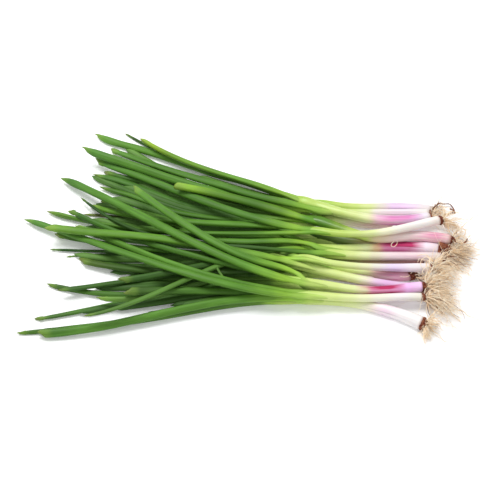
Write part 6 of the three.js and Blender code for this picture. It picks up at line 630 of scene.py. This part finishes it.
# ---------------------------------------------------------------- shanks
GIRTH = {"04": 0.88, "08": 0.87, "12": 0.94, "11": 0.97, "06": 1.08}
SHANK_LOOK = {
    "shank_01": ([(0, (203, 185, 173)), (5.2, (228, 219, 220)), (19.2, (230, 215, 229)), (34.9, (222, 202, 226)), (45.4, (217, 214, 194)), (57.6, (212, 224, 154)), (69.8, (195, 214, 122)), (82.1, (182, 206, 101)), (91.7, (170, 201, 88)), (102.1, (153, 189, 70)), (111.7, (129, 173, 54))], (238, 204, 238), 17.46, 40.158, 0.8),
    "shank_02": ([(0, (196, 178, 169)), (5.2, (232, 225, 222)), (30.6, (232, 221, 226)), (47.1, (228, 223, 212)), (55.9, (216, 226, 162)), (68.1, (200, 217, 131)), (80.3, (188, 210, 110)), (89.9, (177, 205, 96)), (100.4, (157, 192, 74)), (110, (131, 175, 55))], (230, 206, 222), 13.968, 43.65, 0.6),
    "shank_03": ([(0, (209, 189, 179)), (5.2, (234, 225, 233)), (15.7, (224, 202, 231)), (45.4, (230, 214, 218)), (55.9, (222, 228, 174)), (68.1, (208, 221, 143)), (80.3, (196, 216, 122)), (107.4, (185, 210, 108)), (117.9, (163, 197, 80)), (127.5, (133, 177, 57))], (230, 130, 194), 13.968, 46.269, 0.9),
    "shank_04": ([(0, (186, 151, 132)), (4.4, (236, 227, 220)), (14, (242, 237, 233)), (36.7, (238, 234, 222)), (52.4, (236, 236, 200)), (64.6, (211, 223, 151)), (76.8, (193, 212, 120)), (89, (180, 205, 98)), (103, (168, 199, 85)), (113.5, (152, 188, 68)), (123.1, (128, 172, 54))], (240, 226, 236), 17.46, 34.92, 0.2),
    # shank_05: the dark greens from about 98.6 mm on are painted shade, the neck lying in shadow in the heap
    "shank_05": ([(0, (186, 151, 130)), (6.1, (236, 219, 212)), (27.1, (239, 227, 222)), (48, (234, 214, 209)), (65.5, (230, 214, 180)), (74.2, (198, 216, 123)), (86.4, (170, 197, 86)), (98.6, (118, 152, 46)), (112.6, (84, 130, 34)), (123.1, (77, 121, 28)), (132.7, (74, 117, 28))], (224, 104, 166), 6.111, 30.555, 0.75),
    "shank_06": ([(0, (142, 85, 79)), (3.5, (226, 212, 218)), (15.7, (241, 225, 237)), (23.6, (238, 204, 229)), (33.2, (234, 159, 209)), (47.1, (228, 149, 194)), (55.9, (232, 206, 160)), (64.6, (222, 228, 174)), (76.8, (208, 221, 143)), (89, (196, 216, 122)), (98.6, (185, 210, 108)), (109.1, (163, 197, 80)), (118.7, (133, 177, 57))], (188, 24, 96), 20.079, 48.888, 1.3),
    "shank_07": ([(0, (162, 110, 94)), (4.4, (228, 215, 212)), (19.2, (236, 225, 222)), (45.4, (234, 219, 218)), (59.4, (222, 219, 188)), (66.3, (222, 228, 174)), (78.6, (208, 221, 143)), (89, (196, 216, 122)), (96, (185, 210, 108)), (106.5, (163, 197, 80)), (116.1, (133, 177, 57))], (224, 176, 200), 15.714, 43.65, 0.6),
    "shank_08": ([(0, (162, 117, 103)), (4.4, (234, 227, 227)), (18.3, (236, 229, 235)), (34, (230, 217, 233)), (48, (228, 225, 209)), (56.7, (227, 231, 185)), (69, (215, 226, 154)), (81.2, (204, 221, 134)), (103.9, (194, 216, 119)), (114.4, (168, 201, 86)), (124, (136, 180, 58))], (228, 202, 240), 25.317, 41.031, 0.6),
    "shank_09": ([(0, (110, 56, 44)), (4.4, (209, 170, 175)), (13.1, (220, 187, 197)), (27.1, (215, 191, 184)), (39.3, (214, 224, 157)), (51.5, (197, 215, 125)), (63.7, (184, 208, 104)), (77.7, (173, 202, 91)), (88.2, (154, 190, 71)), (97.8, (130, 174, 54))], (216, 128, 168), 6.111, 30.555, 0.75),
    "shank_10": ([(0, (196, 166, 150)), (11.3, (228, 212, 226)), (25.3, (230, 210, 229)), (39.3, (228, 214, 227)), (51.5, (229, 233, 190)), (63.7, (218, 228, 160)), (76, (208, 223, 140)), (107.4, (198, 218, 124)), (117.9, (171, 203, 89)), (127.5, (137, 181, 59))], (226, 176, 226), 23.571, 46.269, 0.8),
    "shank_11": ([(0, (133, 79, 79)), (3.9, (238, 200, 239)), (13.5, (238, 187, 237)), (22.3, (234, 168, 218)), (43.2, (226, 163, 197)), (50.2, (228, 232, 188)), (62.4, (217, 227, 157)), (74.6, (206, 222, 137)), (97.3, (196, 217, 122)), (107.8, (170, 202, 88)), (117.4, (136, 180, 59))], (184, 22, 88), 22.2615, 47.5785, 1.25),
    "shank_12": ([(0, (146, 92, 66)), (3.5, (232, 229, 216)), (20.1, (239, 234, 231)), (37.5, (231, 230, 211)), (49.8, (227, 231, 185)), (62, (215, 226, 154)), (74.2, (204, 221, 134)), (96.9, (194, 216, 119)), (107.4, (168, 201, 86)), (117, (136, 180, 58))], (244, 232, 238), 9.603, 23.571, 0.2),
    "shank_13": ([(0, (160, 110, 84)), (3.5, (236, 231, 229)), (21.8, (239, 233, 233)), (34, (236, 225, 227)), (49.8, (229, 233, 190)), (62, (218, 228, 160)), (74.2, (208, 223, 140)), (96.9, (198, 218, 124)), (107.4, (171, 203, 89)), (117, (137, 181, 59))], (240, 204, 226), 26.19, 43.65, 0.7),

}


def shank(name, rows, seed):
    rng = np.random.RandomState(seed)
    rows = np.array(rows, float)
    rows[0, 3] /= 0.86
    # the outer sheath runs on past the neck and closes round the leaves
    leaves = [np.array(LEAVES[k]) for k in LEAVES if k[5:7] == name[-2:]]
    def on(dist):
        pts = []
        for q in leaves:
            qq = q[::-1]
            L = np.r_[0, np.cumsum(np.linalg.norm(np.diff(qq[:, :3], axis=0), axis=1))]
            pts.append([np.interp(dist, L, qq[:, k]) for k in range(3)])
        return np.mean(pts, axis=0)
    top = rows[-1]
    u_ = (top[:3] - rows[-2][:3]) / np.linalg.norm(top[:3] - rows[-2][:3])
    ext = [np.r_[on(8.0) * 0.6 + (top[:3] + u_ * 9.5) * 0.4, top[3] * 0.86], np.r_[on(20.0) * 0.9 + (top[:3] + u_ * 21.0) * 0.1, top[3] * 0.5]]
    rows = np.vstack([rows, ext])
    p, r, s = spline(rows, 1.25)
    total = s[-1]
    foot = s
    # a rounded foot, a little swollen just above it
    r = r * np.where(foot < 2.4, np.sqrt(1 - (1 - np.clip(foot / 2.4, 0, 1)) ** 2 * 0.55), 1.0)
    r = r * (1 + 0.03 * np.exp(-((foot - 9) / 8.0) ** 2))
    e = total - s
    r = r * np.where(e < 12, 0.15 + 0.85 * np.clip(e / 12.0, 0, 1) ** 0.8, 1.0)
    r = r * (GIRTH.get(name[-2:], 1.04) + 0.012 * np.sin(s / 9.0 + rng.rand() * 6))
    wide = 1 + 0.26 * np.clip(1 - np.abs(e - 18) / 42.0, 0, 1)
    m = 36
    T, U, V = frames(p)
    a = np.arange(m) / m * 2 * np.pi + np.pi
    rings = np.zeros((len(p), m, 3))
    ph = rng.rand(4) * 6
    for i in range(len(p)):
        g = min(1.0, max(0.0, (s[i] - 25) / 50.0))
        rad = 1 + 0.012 * np.cos(5 * a + ph[0] + s[i] / 90) + 0.008 * np.cos(13 * a + ph[1]) - 0.05 * g * np.exp(-((np.mod(a + ph[2] + s[i] / 140, 2 * np.pi) - 3.0) / 0.28) ** 2)
        rings[i] = p[i] + r[i] * rad[:, None] * (np.sin(a)[:, None] * V[i] * wide[i] + np.cos(a)[:, None] * U[i])
    rings[:, :, 2] = np.maximum(rings[:, :, 2], 0.05)
    verts, faces = loft(rings)
    v = s / s[-1] * 0.99 + 0.005
    uv = tube_uv(len(rings), m, v)
    stops, skin, f0, f1, amt = SHANK_LOOK[name]
    mat = shank_material("shank_skin_" + name[-2:], total, stops, skin, f0, f1, amt, seed)
    ob = make(name + "_stem", verts, faces, [mat], uv)
    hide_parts(name)
    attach(ob, "root")
    return ob


# ---------------------------------------------------------------- roots
ROOT_LOOK = {
    "roots_01": (45, 19, 1.3, 0.2, 0.1),
    "roots_02": (36, 15, 0.9, 0.8, 0.6),
    "roots_03": (54, 20, 0.9, 0.9, 0.7),
    "roots_04": (126, 26, 0.9, 1.0, 0.9),
    "roots_05": (54, 26, 1.3, 0.4, 0.2),
    "roots_06": (215, 29, 0.9, 1.0, 0.8),
    "roots_07": (126, 29, 0.9, 0.8, 0.9),
    "roots_08": (215, 31, 0.9, 0.9, 0.9),
    "roots_09": (63, 18, 0.9, 0.8, 0.8),
    "roots_10": (126, 29, 0.9, 0.9, 0.9),
    "roots_11": (215, 31, 1.0, 0.8, 0.7),
    "roots_12": (225, 39, 0.9, 1.0, 1.2),
    "roots_13": (190, 15, 1.3, 0.3, 0.2),

}
PLATE_SIZE = {"06": (1.55, 0.9, 5.0), "09": (1.0, 0.9, 2.6), "11": (0.98, 0.8, 1.3), "12": (0.96, 0.8, 1.5), "13": (0.97, 0.7, 1.4), "04": (0.92, 0.5, 1.2), "07": (0.9, 0.5, 1.6), "08": (0.86, 0.4, 0.9), "10": (0.8, 0.4, 0.5)}
DRIED = {"01": 0.4, "05": 0.3, "09": 0.4, "07": 0.08, "06": 0.08, "12": 0.07, "11": 0.07}
ROOT_MATS = [root_material("root_fibre_pale", (255, 246, 226), (252, 228, 196)), root_material("root_fibre_tan", (254, 232, 200), (238, 204, 160))]
PLATE = plate_material("basal_plate_brown", (92, 34, 28), (148, 92, 66))


def strand_mesh(pts, rad, sides=4):
    T, U, V = frames(pts)
    a = np.arange(sides) / sides * 2 * np.pi
    rings = pts[:, None] + rad[:, None, None] * (np.cos(a)[None, :, None] * U[:, None] + np.sin(a)[None, :, None] * V[:, None])
    return loft(rings)


def roots(name, rows, seed):
    rng = np.random.RandomState(seed)
    rows = np.array(rows, float)
    count, length, spread, drop, bend = ROOT_LOOK[name]
    shank_rows = np.array(SHANKS["shank_" + name[-2:]])
    foot = shank_rows[0][:3]
    axis = shank_rows[0][:3] - shank_rows[1][:3]
    axis /= np.linalg.norm(axis)
    rs = shank_rows[0][3] / 0.86
    up = np.array([0, 0, 1.0])
    U = up - axis * axis[2]
    U /= np.linalg.norm(U)
    V = np.cross(axis, U)
    path, _, ps = spline(rows, 1.0)
    verts, faces, midx = [], [], []
    base = 0
    def add(v, f, mi):
        nonlocal base
        verts.append(v)
        faces.extend([tuple(x + base for x in q) for q in f])
        midx.extend([mi] * len(f))
        base += len(v)
    # the basal plate: a lumpy disc with a ragged rim
    m = 28
    a = np.arange(m) / m * 2 * np.pi
    prof = [(-2.6, 1.1), (-1.8, 1.2), (-0.6, 1.2), (0.5, 1.08), (1.4, 0.86), (2.2, 0.5), (2.5, 0.15)]
    lump = 1 + 0.07 * np.cos(3 * a + rng.rand() * 6) + 0.05 * rng.randn(m)
    psize, plen, ahead = PLATE_SIZE.get(name[-2:], (0.86, 0.5, 0.5))
    rings = []
    for z, k in prof:
        z = z * (plen if z < 0 else ahead)
        jit = 1 + 0.06 * rng.randn(m)
        rr = rs * 0.84 * k * (lump * jit) * psize
        rings.append(foot + axis * (z + 0.5) + rr[:, None] * (np.cos(a)[:, None] * U + np.sin(a)[:, None] * V))
    rings = np.array(rings)
    rings[:, :, 2] = np.maximum(rings[:, :, 2], 0.05)
    add(*loft(rings), 2)
    Lp = ps[-1]
    # the strands hang together in loose locks, with single ones straying between them
    lock_size = 9
    for i in range(count):
        if i % lock_size == 0:
            ang0 = rng.rand() * 2 * np.pi
            rl = rs * 0.8 * math.sqrt(rng.rand())
            Ll = length * rng.uniform(0.6, 1.0)
            lift = rng.uniform(0.4, 1.25)
            radial = math.cos(ang0) * U + math.sin(ang0) * V
            dl = axis * rng.uniform(0.5, 1.0) + radial * (0.3 + rl / rs) * spread * rng.uniform(0.4, 1.2) + rng.randn(3) * 0.22
            lw = [(rng.randn(3) * amp, rng.uniform(lo, hi), rng.rand(3) * 6.28) for amp, lo, hi in ((0.13, 14, 26), (0.14, 6, 11))]
            fl = bend * rng.uniform(0.15, 1.0)
        stray = rng.rand() < 0.22
        L = Ll * rng.uniform(0.55, 1.12) if not stray else length * rng.uniform(0.4, 1.15)
        n = int(max(12, L / 1.1))
        ang = ang0 + rng.randn() * 0.5 if not stray else rng.rand() * 2 * np.pi
        rad0 = np.clip(rl + rng.randn() * rs * 0.12, 0, rs * 0.8)
        radial = math.cos(ang) * U + math.sin(ang) * V
        start = foot + axis * (0.6 + ahead * 1.7 + (1 - rad0 / rs) * 0.8 - (1.6 if stray else 0.0)) + rad0 * radial
        out = dl + rng.randn(3) * 0.14 if not stray else axis * rng.uniform(0.3, 1.0) + radial * spread * rng.uniform(0.3, 1.3) + rng.randn(3) * 0.3
        d = out / np.linalg.norm(out)
        pts = [start]
        follow = fl if not stray else bend * rng.rand() * 0.7
        sag = drop * (lift if not stray else rng.uniform(0.1, 1.2))
        k_own = 1.0 if not stray else 1.5
        waves = [(rng.randn(3) * amp * k_own, rng.uniform(lo, hi), rng.rand(3) * 6.28) for amp, lo, hi in ((0.07, 9, 18), (0.20, 4, 8), (0.17, 1.8, 3.4))]
        if name[-2:] in ("01", "05"):
            waves = waves + [(rng.randn(3) * 0.34, rng.uniform(12, 20), rng.rand(3) * 6.28)]
        if not stray:
            waves = waves + lw
        step = L / n
        for k in range(n):
            s_ = k * step
            j = min(len(path) - 1, int(min(s_ / Lp, 1.0) * (len(path) - 1)))
            guide = path[min(len(path) - 1, j + 4)] - path[max(0, j - 2)]
            guide = guide / (np.linalg.norm(guide) + 1e-9)
            d = d + step * (guide * 0.075 * follow + np.array([0, 0, -sag]) * 0.04)
            for amp, wl, ph in waves:
                d = d + step * amp * np.sin(s_ / wl * 6.28 + ph) * (0.35 + 0.45 * s_ / L)
            low = pts[-1][2]
            if low < 1.2:
                d[2] = max(d[2], -low * 0.06)
            d = d / np.linalg.norm(d)
            q = pts[-1] + d * step
            q[2] = max(q[2], 0.5)
            pts.append(q)
        pts = np.array(pts)
        bold = rng.rand() < 0.3
        r0 = rng.uniform(0.25, 0.35) if bold else rng.uniform(0.13, 0.22)
        rad = r0 * (1 - 0.6 * np.linspace(0, 1, len(pts)) ** 1.3)
        add(*strand_mesh(pts, rad), 2 if rng.rand() < DRIED.get(name[-2:], 0.03) else int(rng.rand() < (0.15 if bold else 0.5)))
    own = name[-2:] == "01"
    lines = [(q, 0.85 if own else 0.42, 2 if own else 1) for q in STRAYS.get(name, [])] + [(q, 0.44, k % 2) for k, q in enumerate(HAIRS.get(name, []))] + [(q, 1.0, 2) for q in BITS.get(name, [])]
    for line, thick, mi in lines:
        pts, _, ss = spline([(a[0], a[1], a[2], 1.0) for a in line], 0.9)
        wv = np.stack([0.35 * np.sin(ss / rng.uniform(1.2, 2.4) + rng.rand() * 6) for _ in range(3)], axis=1)
        pts = pts + wv * np.clip(ss / 6.0, 0, 1)[:, None]
        pts[:, 2] = np.maximum(pts[:, 2], 0.9)
        add(*strand_mesh(pts, thick * (1 - 0.55 * ss / ss[-1])), mi)
    ob = make(name + "_fibres", np.vstack(verts), faces, [ROOT_MATS[0], ROOT_MATS[1], PLATE], None, midx)
    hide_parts(name)
    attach(ob, "root")
    return ob


def lower_piece(i, kind, rows):
    """a leaf or shank of the same plants that lies low in the heap and shows only between the others; its dark
    colours ('L' leaves, 'T' and 'D' shanks) are partly painted shade for the shaded gaps
    """
    rng = np.random.RandomState(900 + i)
    rows = np.array(rows, float)
    if kind in ("L", "K"):
        rows = rows[::-1]
    p, r, s = spline(rows, 2.0)
    total = s[-1]
    e = total - s
    r = r * np.where(e < 8, np.clip(e / 8.0, 0.03, 1) ** 0.6, 1.0) * np.where(s < 5, np.clip(s / 5.0, 0.1, 1) ** 0.5, 1.0)
    m = 18
    T, U, V = frames(p)
    a = np.arange(m) / m * 2 * np.pi + np.pi
    rad = 1 + 0.02 * np.cos(7 * a + rng.rand() * 6)
    flat = 0.84 if kind == "L" else 1.0
    rings = p[:, None] + (r[:, None] * rad[None])[:, :, None] * (np.sin(a)[None, :, None] * V[:, None] * 1.08 + flat * np.cos(a)[None, :, None] * U[:, None])
    rings[:, :, 2] = np.maximum(rings[:, :, 2], 0.05)
    verts, faces = loft(rings)
    uv = tube_uv(len(rings), m, s / total * 0.99 + 0.005)
    if kind in ("L", "K"):
        # dark greens, partly painted shade in the gaps; tips and ends towards the front (y below -37) are darker
        # still as painted shade
        g = mixc((52, 88, 28), (82, 124, 42), rng.rand()) if kind == "L" else (112, 152, 60)
        mat = leaf_material("leaf_green_low_%02d" % i, total, g, mixc(g, (120, 160, 56), 0.45), mixc(g, (52, 82, 36), 0.6) if rows[-1][1] < -37 else mixc(g, (92, 124, 66), 0.6), (58, 82, 40) if rows[-1][1] < -37 else (84, 108, 56), 900 + i, 0.06, 0.0)
        ob = make("leaf_low_%02d" % i, verts, faces, [mat], uv)
    elif kind == "T":
        # a tan low shank whose dark browns are partly painted shade between the pale shanks
        mat = shank_material("shank_skin_low_%02d" % i, total, [(0, (112, 66, 56)), (10, (150, 110, 104)), (total * 0.5, (160, 140, 104)), (total, (112, 140, 52))],
                             (96, 30, 50), 0, total * 0.5, 0.5, 900 + i)
        ob = make("shank_low_%02d" % i, verts, faces, [mat], uv)
    elif kind == "D":
        # dark browns and greens standing as painted shade in a shadowed gap among the necks
        mat = shank_material("shank_skin_low_%02d" % i, total, [(0, (120, 96, 76)), (14, (120, 116, 66)), (total * 0.5, (86, 108, 44)), (total, (60, 92, 32))],
                             (110, 60, 70), 0, 12, 0.3, 900 + i)
        ob = make("shank_low_%02d" % i, verts, faces, [mat], uv)
    else:
        mat = shank_material("shank_skin_low_%02d" % i, total, [(0, (196, 160, 140)), (8, (232, 214, 208)), (total * 0.5, (226, 222, 190)), (total * 0.8, (188, 204, 120)), (total, (120, 158, 60))],
                             (206, 150, 180), 10, total * 0.5, 0.6, 900 + i)
        ob = make("shank_low_%02d" % i, verts, faces, [mat], uv)
    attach(ob, "root")


for i, (kind, rows) in enumerate(LOWER):
    lower_piece(i, kind, rows)
for i, (n, rows) in enumerate(SHANKS.items()):
    shank(n, rows, 100 + i)
for i, (n, rows) in enumerate(ROOTS.items()):
    roots(n, rows, 300 + i)
for i, (n, rows) in enumerate(LEAVES.items()):
    leaf(n, rows, 500 + i)

# ---------------------------------------------------------------- the surface under the bunch, light and view
bpy.ops.mesh.primitive_plane_add(size=6.0, location=(0, 0, 0))
floor = bpy.context.object
floor.name = "table_top"
fm = bpy.data.materials.new("pale_table")
nt, N, L, bsdf = nodes_of(fm)
nz = object_noise(nt, 3.0)
L.new(blend(nt, remap(nt, nz, 0.3, 0.7, 0.0, 1.0), lin((250, 250, 250)), lin((247, 248, 250))), bsdf.inputs["Base Color"])
bsdf.inputs["Emission Color"].default_value = (1, 1, 1, 1)
bsdf.inputs["Emission Strength"].default_value = 0.12
bsdf.inputs["Roughness"].default_value = 0.9
bsdf.inputs["Specular IOR Level"].default_value = 0.1
floor.data.materials.append(fm)

world = bpy.data.worlds.new("soft_sky")
bpy.context.scene.world = world
world.use_nodes = True
world.node_tree.nodes["Background"].inputs[0].default_value = (1.0, 1.0, 1.0, 1.0)
world.node_tree.nodes["Background"].inputs[1].default_value = 0.52


def area(name, loc, target, size, power, colour=(1, 1, 1)):
    d = bpy.data.lights.new(name, "AREA")
    d.shape = "DISK"
    d.size = size
    d.energy = power
    d.color = colour
    o = bpy.data.objects.new(name, d)
    bpy.context.scene.collection.objects.link(o)
    o.location = loc
    o.rotation_euler = (Vector(target) - Vector(loc)).to_track_quat("-Z", "Y").to_euler()
    return o


area("key_soft", (-0.35, 0.35, 1.25), (0, 0, 0), 0.75, 15.5)
area("fill_front", (0.4, -1.0, 0.9), (0, 0, 0), 0.9, 3.0)

EL = math.radians(50.0)
DIST = 1.030
OFF = Vector(ORIGIN) * 0.001
fwd = Vector((0, math.cos(EL), -math.sin(EL)))
cam_data = bpy.data.cameras.new("camera")
cam_data.lens = 85.0
cam_data.sensor_width = 36.0
cam = bpy.data.objects.new("camera", cam_data)
bpy.context.scene.collection.objects.link(cam)
cam.location = -fwd * DIST - OFF
cam.rotation_euler = (math.radians(90.0) - EL, 0, 0)
bpy.context.scene.camera = cam

bpy.context.scene.view_settings.view_transform = "Standard"
bpy.context.scene.view_settings.look = "None"

bpy.context.view_layer.update()
